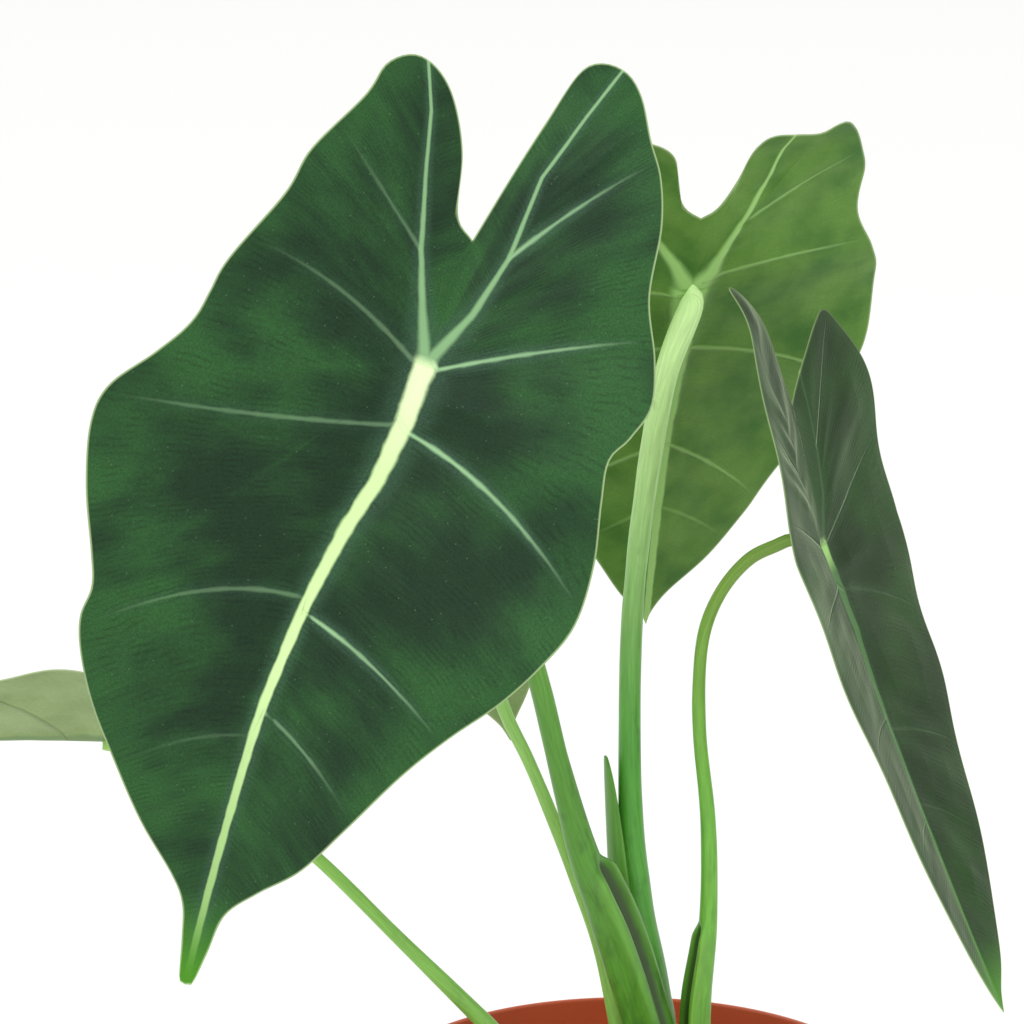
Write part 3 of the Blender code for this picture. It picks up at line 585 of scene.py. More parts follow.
def vein_number(veins, size, u, v):
    """The number of the side vein through each flat point: by halving, the number whose curve, station +
    slope * d + curve * d * d at a distance d out from its main vein, passes through that point."""
    number = np.empty_like(u)
    for side, table in ((u >= 0, veins["right"]), (u < 0, veins["left"])):
        n, out, station, slope, curve = np.array(table).T
        x, y = np.abs(u[side]) / size, v[side] / size
        low, high = np.full(x.shape, n[0]), np.full(x.shape, n[-1])
        for _ in range(HALVINGS):
            middle = (low + high) / 2
            d = x - np.interp(middle, n, out)
            rise = np.interp(middle, n, slope) * d + np.interp(middle, n, curve) * d * d
            height = np.interp(middle, n, station) + np.where(d > 0, rise, INNER_SLOPE * d)
            low, high = np.where(height < y, middle, low), np.where(height < y, high, middle)
        number[side] = (low + high) / 2
    return number


def vein_distance(veins, size, u, v, number):
    """Millimetres from each flat point to the nearest drawn side vein: its height over that vein's curve,
    times the cosine of the curve's slope there."""
    away = np.empty_like(u)
    for side, table in ((u >= 0, veins["right"]), (u < 0, veins["left"])):
        n, out, station, slope, curve = np.array(table).T
        nearest = np.clip(np.round(number[side]), *DRAWN_VEINS)
        d = np.abs(u[side]) / size - np.interp(nearest, n, out)
        first, second = np.interp(nearest, n, slope), np.interp(nearest, n, curve)
        height = np.interp(nearest, n, station) + np.where(d > 0, first * d + second * d * d, INNER_SLOPE * d)
        tilt = np.where(d > 0, first + 2 * second * d, INNER_SLOPE)
        away[side] = (v[side] - size * height) / np.hypot(1, tilt)
    return away


def vein_fields(leaf, veins, flat, edge_distance):
    """What the materials read at each flat point. flat: its place and how strongly side veins are drawn
    there. main: its distances from the midrib and from its lobe's main vein, each over that vein's half
    width, and from the margin. side: its vein number, its distance from the nearest side vein over that
    vein's half width, and its flow, which is the height of its vein 20 mm out and so grows evenly in
    millimetres. Main veins taper by an exponential from the joint, side veins towards the margin."""
    size = leaf["length"] / DRAWN_SIZE
    u, v = flat.T
    midrib = np.array(veins["midrib"], float) * size
    half = size * (MIDRIB_END + (MIDRIB_HALF - MIDRIB_END) * np.exp(-np.clip(v, 0, None) / (55 * size)))
    from_midrib = (u - np.interp(v, midrib[:, 1], midrib[:, 0])) / half
    right = signed_distance(flat, np.array(veins["lobe_right"]) * size)
    left = signed_distance(flat, np.array(veins["lobe_left"]) * size)
    lobe = np.where(u < 0, left, -right)
    behind = np.clip(v, None, 0) / size
    lobe_half = LOBE_END + (LOBE_HALF - LOBE_END) * np.exp(behind / 25) + 0.8 * np.exp(behind / 7)
    from_lobe = lobe / (size * lobe_half)
    number = vein_number(veins, size, u, v)
    taper = 0.45 + 0.55 * np.clip(edge_distance / (35 * size), 0, 1)
    table = np.array(veins["right"])
    flow = size * np.interp(number, table[:, 0], table[:, 2] + 20 * table[:, 3] + 20**2 * table[:, 4])
    side_half = size * SIDE_HALF * taper
    drawn = np.clip((3.4 - number) / 0.8, 0, 1) * np.clip((number + 1.5) / 0.2, 0, 1)
    drawn = drawn * np.clip(0.5 - lobe, 0, 1) * np.clip(edge_distance / (16 * size) - 0.15, 0, 1)
    drawn *= np.where(u < 0, leaf.get("left_veins", 1), 1)
    return dict(
        flat=np.stack([u, v, drawn], axis=1),
        main=np.stack([from_midrib, from_lobe, edge_distance], axis=1),
        side=np.stack([number, vein_distance(veins, size, u, v, number) / side_half, flow], axis=1),
    )


def vein_relief(leaf, fields):
    """How far the midrib and the lobes' main veins stand out of the underside: each is a ridge whose height
    is a power of a parabola across it and falls off exponentially from the joint; the higher one counts."""
    size = leaf["length"] / DRAWN_SIZE
    v = fields["flat"][:, 1]
    ridge = np.clip(1 - (fields["main"][:, 0] / 1.5) ** 2, 0, 1) ** 1.5 * np.clip(v / size / 3 + 0.5, 0, 1)
    ridge *= MIDRIB_RISE * np.exp(-np.clip(v, 0, None) / (60 * size))
    lobe = np.clip(1 - (fields["main"][:, 1] / 1.5) ** 2, 0, 1) ** 1.5 * np.clip(-v / size / 3 + 0.6, 0, 1)
    behind = np.clip(v, None, 0) / size
    lobe *= LOBE_RISE * np.exp(behind / 30) + JOINT_RISE * np.exp(behind / 8)
    return size * np.maximum(ridge, lobe)


def make_blade(name, leaf, rings, spokes, finishes):
    """Two sheets of rings and spokes about the joint, closed round the margin. Each ring is the outline
    shrunk by its share. Each sheet is the bent middle surface moved out along its normal by half the
    thickness, by a swelling between the side veins and fine puckers, and below by the raised veins, which
    are wider there than above, most of all near the joint."""
    right = smooth_curve(leaf["right"], spokes // 2 + 1)
    left = smooth_curve(leaf["left"], spokes // 2 + 1)
    edge = np.vstack([right[:-1], left[:0:-1]])
    count = len(edge)
    share = np.linspace(0, 1, rings + 1)[1:] ** 0.9
    flat = np.vstack([[[0, 0]], (share[:, None, None] * edge).reshape(-1, 2)])
    tangent = unit(np.roll(edge, -1, axis=0) - np.roll(edge, 1, axis=0))
    lever = np.abs(edge[:, 0] * tangent[:, 1] - edge[:, 1] * tangent[:, 0])
    edge_distance = np.concatenate([[lever.min()], ((1 - share)[:, None] * lever).ravel()])
    fields = vein_fields(leaf, VEINS_OF.get(name, VEINS), flat, edge_distance)

    u, v = flat.T
    size = leaf["length"] / DRAWN_SIZE
    wider = 1.5 + 1.0 * np.exp(-np.abs(v) / size / 30)
    lower_fields = dict(fields, main=fields["main"] / np.stack([wider, wider, np.ones_like(u)], axis=1),
                        side=fields["side"] * [1, 0.6, 1])
    middle = blade_point(leaf, u, v)
    ahead = blade_point(leaf, u, v + STEP) - middle
    upward = unit(np.cross(ahead, blade_point(leaf, u + STEP, v) - middle))
    number, flow = fields["side"][:, 0], fields["side"][:, 2]
    away = np.clip(np.abs(u) / (12 * size), 0, 1) * np.clip(edge_distance / 10, 0, 1)
    pucker = lattice_noise(np.stack([np.abs(u) / 2.5, flow, np.sign(u) * 40], axis=1), 5, 9)
    swell = (SWELL * np.sin(math.pi * number) ** 2 + PUCKER * pucker) * away
    thick = BLADE_HALF * np.clip(0.55 + edge_distance / 6, 0, 1)
    channel = CHANNEL * np.clip(1 - (fields["main"][:, 0] / 2.5) ** 2, 0, 1) * (v > 0)
    upper = middle + upward * (swell + thick - channel)[:, None]
    lower = middle + upward * (swell - thick - vein_relief(leaf, lower_fields))[:, None]

    top = [fan_faces(0, 1, count)[:, ::-1], ring_faces(rings, count, 1)]
    below = len(flat)
    bottom = [fan_faces(below, below + 1, count), ring_faces(rings, count, below + 1)[:, ::-1]]
    rim = 1 + (rings - 1) * count + np.arange(count)
    rim = np.stack([rim, np.roll(rim, -1), below + np.roll(rim, -1), below + rim], axis=1)
    indices = np.concatenate([np.zeros(sum(map(len, top)), int), np.ones(sum(map(len, bottom)) + count, int)])
    both = {field: np.vstack([values, lower_fields[field]]) for field, values in fields.items()}
    make_piece(name + "_leaf", np.vstack([upper, lower]), [*top, *bottom, rim], finishes,
               name + "_blade", both, indices)


EASE = dict(interpolation_type="SMOOTHSTEP")  # a Map Range that eases at both ends


def vein_masks(tree):
    """Shader sockets for the veins. Each vein is full up to one share of its half width and gone at another,
    with noise that makes its edges wander, and it has a wider halo. Side veins count only near a whole vein
    number, and the midrib only ahead of the joint. The fine veins are a sine of the flow, swayed by noise
    and patchy."""
    flat = add(tree, "Attribute", output=1, attribute_name="flat")
    across, along, drawn = add(tree, "SeparateXYZ", {0: flat}).node.outputs
    main = add(tree, "Attribute", output=1, attribute_name="main")
    midrib, lobe, edge = add(tree, "SeparateXYZ", {0: main}).node.outputs
    side = add(tree, "Attribute", output=1, attribute_name="side")
    number, from_side, flow = add(tree, "SeparateXYZ", {0: side}).node.outputs
    wobble = add(tree, "TexNoise", {"Vector": flat, "Scale": WANDER, "Detail": 2.0})
    ragged = add(tree, "MapRange", {0: wobble, 1: 0.3, 2: 0.7, 3: 0.8, 4: 1.3})
    even = add(tree, "MapRange", {0: wobble, 1: 0.3, 2: 0.7, 3: 0.9, 4: 1.12})
    ahead = add(tree, "MapRange", {0: along, 1: -2.0, 2: 0.5})
    between = add(tree, "Math", {0: number, 1: 0.5}, operation="PINGPONG")
    near = add(tree, "MapRange", {0: between, 1: 0.25, 2: 0.4, 3: drawn, 4: 0.0})
    masks, halos = [], []
    for distance, shake, full, gone, width in (
        (midrib, even, 0.6, 1.15, 3.5), (lobe, even, 0.3, 1.3, 4.5), (from_side, ragged, 0.2, 1.9, 7.0),
    ):
        distance = add(tree, "Math", {0: distance}, operation="ABSOLUTE")
        shaken = add(tree, "Math", {0: distance, 1: shake}, operation="MULTIPLY")
        masks.append(add(tree, "MapRange", {0: shaken, 1: full, 2: gone, 3: 1.0, 4: 0.0}, **EASE))
        halos.append(add(tree, "MapRange", {0: distance, 1: 0.5, 2: width, 3: 1.0, 4: 0.0}, **EASE))
    for kind, where in ((0, ahead), (2, near)):
        masks[kind] = add(tree, "Math", {0: masks[kind], 1: where}, operation="MULTIPLY")
        halos[kind] = add(tree, "Math", {0: halos[kind], 1: where}, operation="MULTIPLY")
    around = add(tree, "Math", {0: halos[0], 1: halos[1]}, operation="MAXIMUM")
    around = add(tree, "Math", {0: around, 1: halos[2]}, operation="MAXIMUM")
    turn = {0: flow, 1: 0.0, 2: FINE_SPACING, 3: 0.0, 4: 2 * math.pi}
    phase = add(tree, "MapRange", turn, clamp=False)
    drift = add(tree, "TexNoise", {"Vector": flat, "Scale": SWAY, "Detail": 2.0})
    sway = add(tree, "MapRange", {0: drift, 1: 0.0, 2: 1.0, 3: -6.0, 4: 6.0})
    phase = add(tree, "Math", {0: phase, 1: sway}, operation="ADD")
    fine = add(tree, "Math", {0: phase}, operation="SINE")
    patchy = add(tree, "MapRange", {0: wobble, 1: 0.4, 2: 0.7}, **EASE)
    fine = add(tree, "Math", {0: fine, 1: patchy}, operation="MULTIPLY")
    return dict(flat=flat, across=across, along=along, edge=edge, flow=flow, midrib=masks[0], lobe=masks[1],
                side=masks[2], around=around, fine=fine)


def upper_material(name, look, length):
    """The living upper skin, velvety because each of its cells is domed: a soft sheen at a low angle and a
    fine grain, drawn ten times too coarse, with a few bright specks. Its green has clouds about 16 by 7 mm
    that follow the side veins, broader ones of 28 mm, and a greyer band along each vein; it is brighter
    near the margin. The veins hold little of that green: they are pale, and palest at the joint. The drip
    tip and the thin margin are lighter too."""
    made, tree = new_material(name)
    veins = vein_masks(tree)
    width = add(tree, "Math", {0: veins["across"], 1: 1 / 16}, operation="MULTIPLY")
    height = add(tree, "Math", {0: veins["flow"], 1: 1 / 7}, operation="MULTIPLY")
    streak = add(tree, "CombineXYZ", {0: width, 1: height})
    cloud = add(tree, "TexNoise", {"Vector": streak, "Scale": 1.0, "Detail": 3.0, "Roughness": 0.55})
    broad = add(tree, "TexNoise", {"Vector": veins["flat"], "Scale": 1 / 28, "Detail": 1.0})
    outside = add(tree, "MapRange", {0: veins["edge"], 1: 2.0, 2: 40.0, 3: 0.16, 4: -0.04})
    mottle = add(tree, "Math", {0: cloud, 1: 0.5, 2: broad}, operation="MULTIPLY_ADD")
    mottle = add(tree, "Math", {0: mottle, 1: outside}, operation="ADD")
    mottle = add(tree, "MapRange", {0: mottle, 1: 0.6, 2: 1.1, 3: 0.0, 4: 0.9}, **EASE)
    colour = add(tree, "Mix", {0: mottle, 6: linear(look["dark"]), 7: linear(look["bright"])}, **MIX)
    band = add(tree, "Math", {0: veins["around"], 1: look["band"]}, operation="MULTIPLY")
    colour = add(tree, "Mix", {0: band, 6: colour, 7: linear(look["halo"])}, **MIX)

    grain = add(tree, "TexNoise", {"Vector": veins["flat"], "Scale": 2.2, "Detail": 2.0})
    speck = add(tree, "TexVoronoi", {"Vector": veins["flat"], "Scale": 0.42, "Randomness": 1.0})
    value = add(tree, "MapRange", {0: grain, 1: 0.3, 2: 0.7, 3: 0.78, 4: 1.22})
    lines = add(tree, "MapRange", {0: veins["fine"], 1: -0.2, 2: 1.0, 3: 1.0, 4: 0.76}, **EASE)
    value = add(tree, "Math", {0: value, 1: lines}, operation="MULTIPLY")
    colour = add(tree, "HueSaturation", {"Value": value, "Color": colour})
    dots = add(tree, "MapRange", {0: speck, 1: 0.04, 2: 0.09, 3: 0.3, 4: 0.0})
    colour = add(tree, "Mix", {0: dots, 6: colour, 7: linear("#6f8f6c")}, **MIX)

    fade = add(tree, "MapRange", {0: veins["edge"], 1: 4.0, 2: 0.3 * length, 3: 0.45, 4: 1.0})
    side = add(tree, "Math", {0: veins["side"], 1: fade}, operation="MULTIPLY")
    side = add(tree, "Math", {0: side, 1: look["side"]}, operation="MULTIPLY")
    colour = add(tree, "Mix", {0: side, 6: colour, 7: linear(look["side_vein"])}, **MIX)
    lobe = add(tree, "Math", {0: veins["lobe"], 1: 0.85}, operation="MULTIPLY")
    colour = add(tree, "Mix", {0: lobe, 6: colour, 7: linear(look["lobe_vein"])}, **MIX)
    place = add(tree, "VectorMath", {0: veins["flat"], 1: (1, 1, 0)}, operation="MULTIPLY")
    from_joint = add(tree, "VectorMath", {0: place}, output=1, operation="LENGTH")
    glow = add(tree, "MapRange", {0: from_joint, 1: 2.0, 2: look["glow"], 3: 1.0, 4: 0.0}, **EASE)
    rib = add(tree, "Mix", {0: glow, 6: linear(look["midrib"]), 7: linear(look["joint"])}, **MIX)
    ahead = add(tree, "MapRange", {0: veins["along"], 1: 0.5 * length, 2: length, 3: 0.0, 4: 0.8})
    rib = add(tree, "Mix", {0: ahead, 6: rib, 7: linear(look["tip"])}, **MIX)
    colour = add(tree, "Mix", {0: veins["midrib"], 6: colour, 7: rib}, **MIX)
    tip = add(tree, "MapRange", {0: veins["along"], 1: 0.85 * length, 2: length}, **EASE)
    colour = add(tree, "Mix", {0: tip, 6: colour, 7: linear(look["tip"])}, **MIX)
    rim = add(tree, "MapRange", {0: veins["edge"], 1: 0.1, 2: 0.5, 3: look["edging"], 4: 0.0}, **EASE)
    colour = add(tree, "Mix", {0: rim, 6: colour, 7: linear(look["rim"])}, **MIX)

    height = add(tree, "Math", {0: veins["fine"], 1: 0.016}, operation="MULTIPLY")
    height = add(tree, "Math", {0: grain, 1: 0.05, 2: height}, operation="MULTIPLY_ADD")
    height = add(tree, "Math", {0: veins["side"], 1: -0.22, 2: height}, operation="MULTIPLY_ADD")
    bump = add(tree, "Bump", {"Strength": 1.0, "Distance": MM, "Height": height})
    shader = add(tree, "BsdfPrincipled", {
        "Base Color": colour, "Roughness": 0.55, "Specular IOR Level": 0.18, "Normal": bump,
        "Sheen Weight": look["sheen"], "Sheen Roughness": 0.25, "Sheen Tint": linear("#dcecc8")})
    add(tree, "OutputMaterial", {0: shader})
    return made


def under_material(name, look):
    """The underside: smooth, paler leaf with clouds of about 14 mm. A fifth of its light comes through from
    behind, as in any thin leaf, and its veins stand out in a lighter green."""
    made, tree = new_material(name)
    veins = vein_masks(tree)
    cloud = add(tree, "TexNoise", {"Vector": veins["flat"], "Scale": 1 / 14, "Detail": 3.0})
    cloud = add(tree, "MapRange", {0: cloud, 1: 0.32, 2: 0.78}, **EASE)
    colour = add(tree, "Mix", {0: cloud, 6: linear(look["under"]), 7: linear(look["deep"])}, **MIX)
    grain = add(tree, "TexNoise", {"Vector": veins["flat"], "Scale": 1.6, "Detail": 3.0})
    value = add(tree, "MapRange", {0: grain, 1: 0.3, 2: 0.7, 3: 0.93, 4: 1.07})
    lines = add(tree, "MapRange", {0: veins["fine"], 1: -1.0, 2: 1.0, 3: 0.97, 4: 1.03})
    value = add(tree, "Math", {0: value, 1: lines}, operation="MULTIPLY")
    colour = add(tree, "HueSaturation", {"Value": value, "Color": colour})
    side = add(tree, "Math", {0: veins["side"], 1: 0.55}, operation="MULTIPLY")
    strong = add(tree, "Math", {0: veins["midrib"], 1: veins["lobe"]}, operation="MAXIMUM")
    mask = add(tree, "Math", {0: strong, 1: side}, operation="MAXIMUM")
    colour = add(tree, "Mix", {0: mask, 6: colour, 7: linear(look["under_vein"])}, **MIX)
    rim = add(tree, "MapRange", {0: veins["edge"], 1: 0.1, 2: 0.6, 3: look["edging"], 4: 0.0}, **EASE)
    colour = add(tree, "Mix", {0: rim, 6: colour, 7: linear(look["rim"])}, **MIX)
    height = add(tree, "Math", {0: veins["fine"], 1: 0.015}, operation="MULTIPLY")
    height = add(tree, "Math", {0: veins["side"], 1: 0.35, 2: height}, operation="MULTIPLY_ADD")
    bump = add(tree, "Bump", {"Strength": 1.0, "Distance": MM, "Height": height})
    skin = add(tree, "BsdfPrincipled", {
        "Base Color": colour, "Roughness": 0.5, "Specular IOR Level": 0.35, "Normal": bump})
    through = add(tree, "BsdfTranslucent", {"Color": colour, "Normal": bump})
    shader = add(tree, "MixShader", {0: 0.2, 1: skin, 2: through})
    add(tree, "OutputMaterial", {0: shader})
    return made


# A look's colours: dark and bright tissue, halo beside the veins, side and lobe veins, midrib, its joint, the
# drip tip, the rim, and under, deep and under_vein for the underside. Strengths: band of the halo, side of
# the side veins, edging of the rim, sheen. glow is how far the joint's pale spot reaches, in millimetres.
dark_look = dict(
    dark="#15301b", bright="#2b582a", halo="#3a5a45", band=0.55, side=0.95, side_vein="#8fb888",
    lobe_vein="#86b07c", midrib="#c6e6a0", joint="#d9f0b8", glow=30, tip="#45851c", rim="#b4cc94",
    edging=0.6, sheen=0.02, under="#66943a", deep="#3a7020", under_vein="#a6d67c")
grey_look = dict(
    dark_look, dark="#17300f", bright="#264a1a", halo="#264422", sheen=0.9, side=0.25, side_vein="#4c6c44",
    lobe_vein="#3a5632", midrib="#47703c", joint="#94c46c", glow=8, edging=0.2)
pale_look = dict(
    dark_look, dark="#4f7d3f", bright="#65914c", halo="#5f8754", band=0.4, side_vein="#9dbb84",
    lobe_vein="#9dbb84", midrib="#b0cb94", tip="#7fa85c", under="#9ab475", deep="#84a060",
    under_vein="#789860", rim="#c3d2a4")
under_dark = under_material("olive leaf underside", dark_look)
under_pale = under_material("pale young leaf underside", pale_look)
for name, rings, spokes, look, under, slot in (
    ("front", 110, 400, dark_look, under_dark, "dark_blade"),
    ("back", 80, 320, dark_look, under_dark, "dark_blade"),
    ("right", 90, 340, grey_look, under_dark, "dark_blade"),
    ("left", 70, 280, pale_look, under_pale, "pale_blade"),
    ("young", 50, 200, pale_look, under_pale, "pale_blade"),
):
    upper = upper_material("velvet upper skin of the " + name + " leaf", look, LEAVES[name]["length"])
    make_blade(name, LEAVES[name], rings, spokes, [upper, under])

# ==================================================================== the stalks
# Five leaf stalks, round, juicy and smooth. Each one is widened at its foot into an open sheath that wrapped
# the next leaf while it grew; they are pale to mid green, with darker green blotches towards the foot.
RING_STEP = 1.2  # along a stalk, between its rings
FOOT_SUNK = 0.7
MITRE_LENGTH = 12  # the foot's flat cut eases out over this length
UNEVEN = 0.04  # of the radius: how far the skin swells and sinks
SHEATH_EDGE = 50  # degrees either side of the opening, and how wide the edges and the groove are
EDGE_WIDTH = 20
GROOVE_WIDTH = 26
GROOVE_DEPTH = 0.75  # as a share of how far the edges stand out
SHEATH_SHOULDER = 6.0


def sheath_shape(leaf, off, height):
    """How far the sheath makes the radius grow, as a share of it: two bell-shaped edges either side of its
    opening, less a bell-shaped groove between them. Both ease in below the sheath's top. Also gives how much
    a point lies in the groove and on the edges."""
    reach, high_edge, low_edge = leaf["sheath"]
    edges = np.exp(-(((np.abs(off) - math.radians(SHEATH_EDGE)) / math.radians(EDGE_WIDTH)) ** 2))
    groove = np.exp(-((off / math.radians(GROOVE_WIDTH)) ** 2))
    stand_out = low_edge + (high_edge - low_edge) * np.clip(height / reach, 0, 1)
    full = np.clip((reach - height) / SHEATH_SHOULDER, 0, 1)
    sheathed = full * full * (3 - 2 * full) * stand_out
    return sheathed * (edges - GROOVE_DEPTH * groove), sheathed * groove, sheathed * edges


def stalk_path(leaf, count):
    """Centres, radii, directions and sideways directions at that many places up a stalk. It starts a little
    inside the corm and ends in the raised veins at the blade's joint. The sideways direction starts towards
    the sheath's opening and is carried along without twist."""
    top = leaf["stalk"][-1][3]
    upward = facing(*leaf["faces"], 0)[2]
    near = blade_point(leaf, np.array([0.0]), np.array([2.0]))[0] - 1.3 * top * upward
    behind = np.array([-3.0]) * leaf["length"] / DRAWN_SIZE
    end = blade_point(leaf, np.array([0.0]), behind)[0] - 0.9 * upward
    rows = np.array([*leaf["stalk"], (*(near - CROWN), top), (*(end - CROWN), 0.3)], float)
    rows[:, :3] += CROWN
    rows[0, 2] -= FOOT_SUNK
    path = smooth_curve(rows, count)
    tangents = unit(np.gradient(path[:, :3], axis=0))
    sideways = np.empty((count, 3))
    side = np.array(leaf["opens"], float)
    for k, tangent in enumerate(tangents):
        side = unit(side - tangent * (side @ tangent))
        sideways[k] = side
    return path[:, :3], path[:, 3], tangents, sideways


def make_stalk(name, leaf, sides, finish):
    """A tube: at each place up the path a ring of that radius, times one plus the sheath's share, spread on
    the sideways and third directions. The foot is mitred flat on the corm, and the top runs out to a point.
    Fields: stem is the place round and up the skin, wing how much it is sheath edge, how far up the stalk
    it is from 0 to 1, and how much it is groove."""
    length = np.linalg.norm(np.diff(np.array(leaf["stalk"])[:, :3], axis=0), axis=1).sum()
    count = int(length / RING_STEP)
    centres, radii, tangents, sideways = stalk_path(leaf, count)
    angles = np.arange(sides) * 2 * math.pi / sides
    off = (angles + math.pi) % (2 * math.pi) - math.pi
    grown, groove, edges = sheath_shape(leaf, off, centres[:, 2:] - CROWN[2])
    along = np.concatenate([[0], np.cumsum(np.linalg.norm(np.diff(centres, axis=0), axis=1))])
    radius = radii[:, None] * (1 + grown)
    third = np.cross(tangents, sideways)
    spread = np.cos(angles)[:, None] * sideways[:, None] + np.sin(angles)[:, None] * third[:, None]
    points = centres[:, None] + radius[..., None] * spread
    slide = (centres[0] - points[0])[:, 2] / tangents[0, 2]
    points += (np.clip(1 - along[:, None] / MITRE_LENGTH, 0, 1) * slide)[..., None] * tangents[:, None]
    uneven = lattice_noise(points.reshape(-1, 3), 9, 21).reshape(count, sides, 1)
    points += UNEVEN * radii[:, None, None] * spread * uneven
    ends = np.array([centres[0], centres[-1]])
    ends[0, 2] = points[0, :, 2].mean()
    around = np.broadcast_to(off * radii[:, None], (count, sides))
    height = np.broadcast_to(along[:, None], (count, sides))
    stem = np.stack([around, height, groove], axis=-1).reshape(-1, 3)
    wing = np.stack([edges, np.broadcast_to(along[:, None] / along[-1], (count, sides)), groove], axis=-1)
    fields = {"stem": np.vstack([stem[:1], stem[-1:], stem]),
              "wing": np.vstack([np.zeros((2, 3)), wing.reshape(-1, 3)])}
    points = np.vstack([ends, points.reshape(-1, 3)])
    make_piece(name + "_stem", points, tube_faces(count, sides), [finish], name + "_stalk", fields)


def stalk_material(name, look):
    """A living stalk: taut, waxy green skin with a satin shine. Fine lines about half a millimetre apart run
    along it, soft darker blotches of about 3 mm gather towards the foot, the groove inside the sheath is
    darkened with painted shade, and the sheath's edges are thinner and lighter."""
    made, tree = new_material(name)
    stem = add(tree, "Attribute", output=1, attribute_name="stem")
    wing = add(tree, "Attribute", output=1, attribute_name="wing")
    sheath_edge, height, groove = add(tree, "SeparateXYZ", {0: wing}).node.outputs
    where = add(tree, "TexCoord", output=3)
    drawn_out = add(tree, "Mapping", {"Vector": stem, "Scale": (1, 0.06, 0)})
    lines = add(tree, "TexNoise", {"Vector": drawn_out, "Scale": 1.8, "Detail": 3.0})
    upright = add(tree, "Mapping", {"Vector": where, "Scale": (1, 1, 0.45)})
    blotch = add(tree, "TexNoise", {"Vector": upright, "Scale": 1 / (3.2 * MM), "Detail": 3.0})
    low = add(tree, "MapRange", {0: height, 1: 0.0, 2: 0.7, 3: 0.12, 4: -0.12})
    blotch = add(tree, "Math", {0: blotch, 1: low}, operation="ADD")
    blotch = add(tree, "MapRange", {0: blotch, 1: 0.5, 2: 0.72, 3: 0.0, 4: look["blotch"]}, **EASE)
    pale = add(tree, "MapRange", {0: height, 1: 0.42, 2: 0.9}, **EASE)
    colour = add(tree, "Mix", {0: pale, 6: linear(look["low"]), 7: linear(look["high"])}, **MIX)
    colour = add(tree, "Mix", {0: blotch, 6: colour, 7: linear(look["dark"])}, **MIX)
    value = add(tree, "MapRange", {0: lines, 1: 0.3, 2: 0.7, 3: 0.86, 4: 1.14})
    colour = add(tree, "HueSaturation", {"Value": value, "Color": colour})
    # Painted shade: the groove inside the sheath is mixed towards a deep green, standing in for the shade in
    # that hollow.
    inside = add(tree, "MapRange", {0: groove, 1: 0.03, 2: 0.3, 3: 0.0, 4: 0.85}, **EASE)
    colour = add(tree, "Mix", {0: inside, 6: colour, 7: linear("#263a12")}, **MIX)
    edge = add(tree, "MapRange", {0: sheath_edge, 1: 0.3, 2: 0.8, 3: 0.0, 4: 0.35}, **EASE)
    colour = add(tree, "Mix", {0: edge, 6: colour, 7: linear(look["high"])}, **MIX)
    bump = add(tree, "Bump", {"Strength": 0.5, "Distance": 0.15 * MM, "Height": lines})
    shader = add(tree, "BsdfPrincipled", {
        "Base Color": colour, "Roughness": 0.38, "Specular IOR Level": 0.45, "Normal": bump})
    add(tree, "OutputMaterial", {0: shader})
    return made


# Sides of the tube, and its greens: low, high and in the blotches, with how strong those are.
STALK_LOOKS = {
    "front": (56, dict(low="#53902a", high="#7db64e", dark="#33611c", blotch=0.45)),
    "young": (32, dict(low="#8cc258", high="#9cd070", dark="#659a3c", blotch=0.2)),
    # The back stalk's high green is almost white: beyond its real paler top, this is a painted highlight on
    # the upper stalk.
    "back": (44, dict(low="#55a236", high="#ccf2a2", dark="#3a7224", blotch=0.45)),
    "right": (48, dict(low="#70b43e", high="#82aa42", dark="#4c8530", blotch=0.3)),
    "left": (36, dict(low="#7cb44a", high="#94c45c", dark="#548a34", blotch=0.25)),
}
for name, (sides, look) in STALK_LOOKS.items():
    make_stalk(name, LEAVES[name], sides, stalk_material(name + " leaf stalk skin", look))

# ==================================================================== the bract
# One short pointed scale leaf, a thin green sheath that once covered the growing tip. It stands against the
# back leaf's stalk, open along one side, and its point leans away.
BRACT_HEIGHT = 86.2
BRACT_THICKNESS = 1.4
BRACT_GAP = 0.75
BRACT_LEAN = 2.2
BRACT_SUNK = 0.6
BRACT_HALF_ANGLE = 70
BRACT_TOWARDS = math.atan2(-0.25, -1.0)
BRACT_SKIN = (4, 80)  # its skin's pattern runs this far either side of its middle, and this far up
BRACT_ROWS = 90
BRACT_POINTS = 22

# Each row is an arc round the back stalk, thickest in its middle. The rows narrow to a point as the root of
# one less a power of the height, and lean away by another power of it.
centres, radii, _, _ = stalk_path(LEAVES["back"], 200)
up = np.linspace(0, 1, BRACT_ROWS)
heights = CROWN[2] - BRACT_SUNK + up * (BRACT_HEIGHT + BRACT_SUNK)
centre = np.stack([np.interp(heights, centres[:, 2], centres[:, k]) for k in range(3)], axis=1)[:, None]
inner = np.interp(heights, centres[:, 2], radii) + BRACT_GAP + BRACT_LEAN * up**2.5
inner = inner[:, None, None]
thick = (BRACT_THICKNESS * (1 - 0.6 * up**3))[:, None, None]
opening = math.radians(BRACT_HALF_ANGLE) * np.sqrt(1 - 0.99 * up**3.2)
across = np.linspace(-1, 1, BRACT_POINTS)
angle = BRACT_TOWARDS + across * opening[:, None]
outward = np.stack([np.cos(angle), np.sin(angle), np.zeros_like(angle)], axis=-1)
body = np.sqrt(np.clip(1 - across**2, 0, 1))[:, None]
outer = centre + outward * (inner + thick * (0.35 + 0.65 * body))
under = centre + outward * (inner - 0.05)
rings = np.concatenate([outer, under[:, ::-1]], axis=1)
cols = 2 * BRACT_POINTS
points = np.vstack([rings[0].mean(axis=0), rings[-1].mean(axis=0), rings.reshape(-1, 3)])
faces = tube_faces(BRACT_ROWS, cols)
round_skin = BRACT_SKIN[0] * np.concatenate([across, across[::-1]])
stem = np.stack(np.broadcast_arrays(round_skin, BRACT_SKIN[1] * up[:, None], 0.0), axis=-1).reshape(-1, 3)
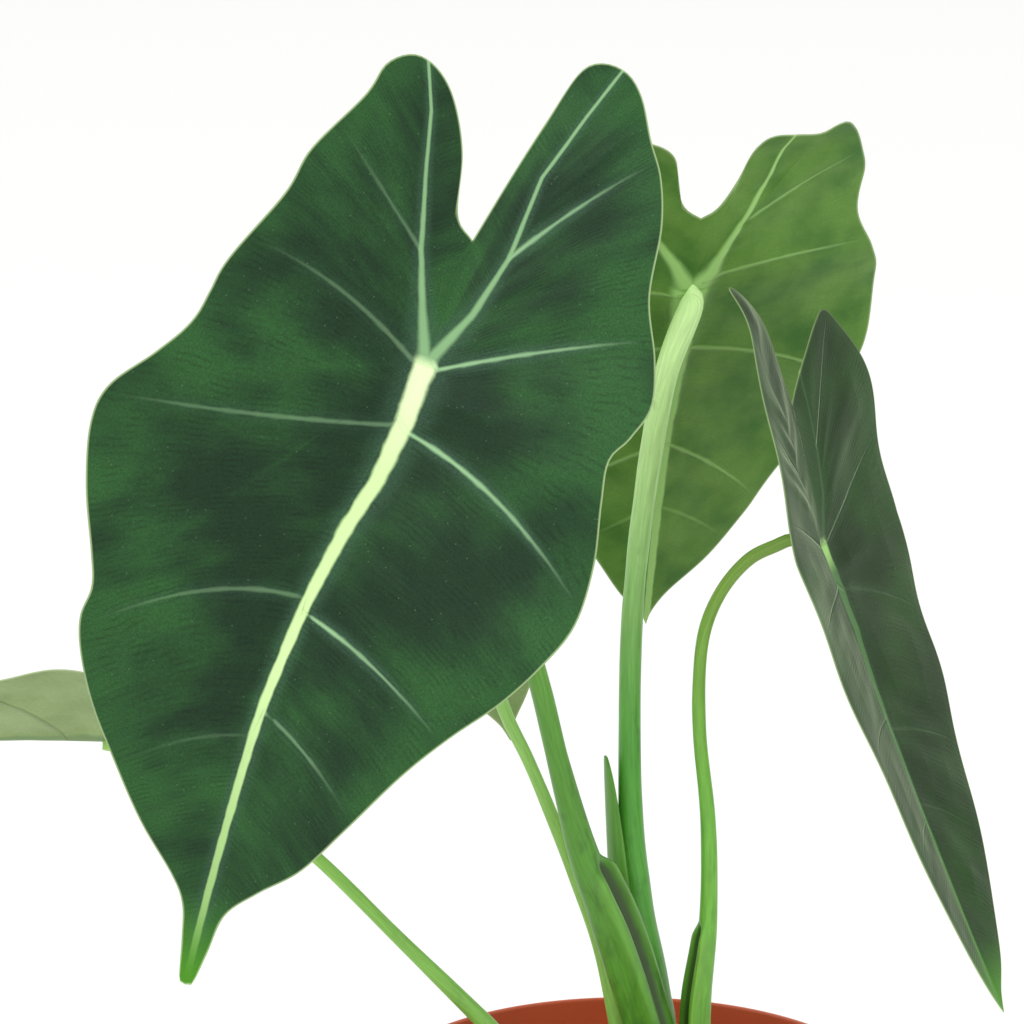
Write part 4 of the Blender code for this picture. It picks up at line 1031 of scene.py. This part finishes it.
wing = np.stack(np.broadcast_arrays(0.0, up[:, None] * np.ones(cols), 0.0), axis=-1).reshape(-1, 3)
fields = {"stem": np.vstack([np.zeros((2, 3)), stem]), "wing": np.vstack([[[0, 0, 0], [0, 1, 0]], wing])}
bract_look = dict(low="#54902c", high="#5f9a38", dark="#447428", blotch=0.4)
scale_skin = stalk_material("green scale leaf skin", bract_look)
make_piece("bract_scale", points, faces, [scale_skin], "bract", fields)

# ==================================================================== the stage
# A plain pale floor under a plain bright studio: one large soft light high in front on the left, a weaker one
# from the right, and even white light all round.
FLOOR_HALF = 9
FLOOR_HEIGHT = -0.0005


def flat_material(name, code, roughness):
    """Matt studio paint, rolled on: one even colour."""
    made, tree = new_material(name)
    shader = add(tree, "BsdfPrincipled", {"Base Color": linear(code), "Roughness": roughness})
    add(tree, "OutputMaterial", {0: shader})
    return made


def soft_light(name, place, target, size, power):
    """A square area light at a place, turned to a target; metres and watts."""
    light = bpy.data.lights.new(name, "AREA")
    light.shape = "SQUARE"
    light.size = size
    light.energy = power
    lamp = bpy.data.objects.new(name, light)
    lamp.location = place
    lamp.rotation_euler = Vector(np.array(target) - np.array(place)).to_track_quat("-Z", "Y").to_euler()
    bpy.context.scene.collection.objects.link(lamp)


corners = [(x * FLOOR_HALF, y * FLOOR_HALF, FLOOR_HEIGHT) for x, y in ((-1, -1), (1, -1), (1, 1), (-1, 1))]
floor_mesh = bpy.data.meshes.new("floor")
floor_mesh.from_pydata(corners, [], [(0, 1, 2, 3)])
floor_mesh.materials.append(flat_material("pale studio floor", "#f7f7f5", 0.9))
floor = bpy.data.objects.new("floor", floor_mesh)
bpy.context.scene.collection.objects.link(floor)

soft_light("key light", (-1.0, -1.5, 1.7), (0, 0, 0.22), 1.2, 20)
soft_light("fill light", (1.6, -0.9, 0.9), (0, 0, 0.2), 1.2, 4)

world = bpy.data.worlds.new("white studio")
bpy.context.scene.world = world
world.use_nodes = True
world.node_tree.nodes.clear()
all_round = add(world.node_tree, "Background", {"Color": (1, 1, 1, 1), "Strength": 1.0})
add(world.node_tree, "OutputWorld", {0: all_round})
bpy.context.scene.view_settings.view_transform = "Standard"

# The camera looks down 15 degrees at the plant from 1.3 m, through a long lens.
SIGHT = math.radians(15)
CAMERA_DISTANCE = 1.3
TARGET = np.array([-0.028, 0, 0.2442])
camera_data = bpy.data.cameras.new("camera")
camera_data.sensor_width = 36
camera_data.lens = 199.6
camera = bpy.data.objects.new("camera", camera_data)
camera.location = TARGET + CAMERA_DISTANCE * np.array([0, -math.cos(SIGHT), math.sin(SIGHT)])
camera.rotation_euler = (math.pi / 2 - SIGHT, 0, 0)
bpy.context.scene.collection.objects.link(camera)
bpy.context.scene.camera = camera
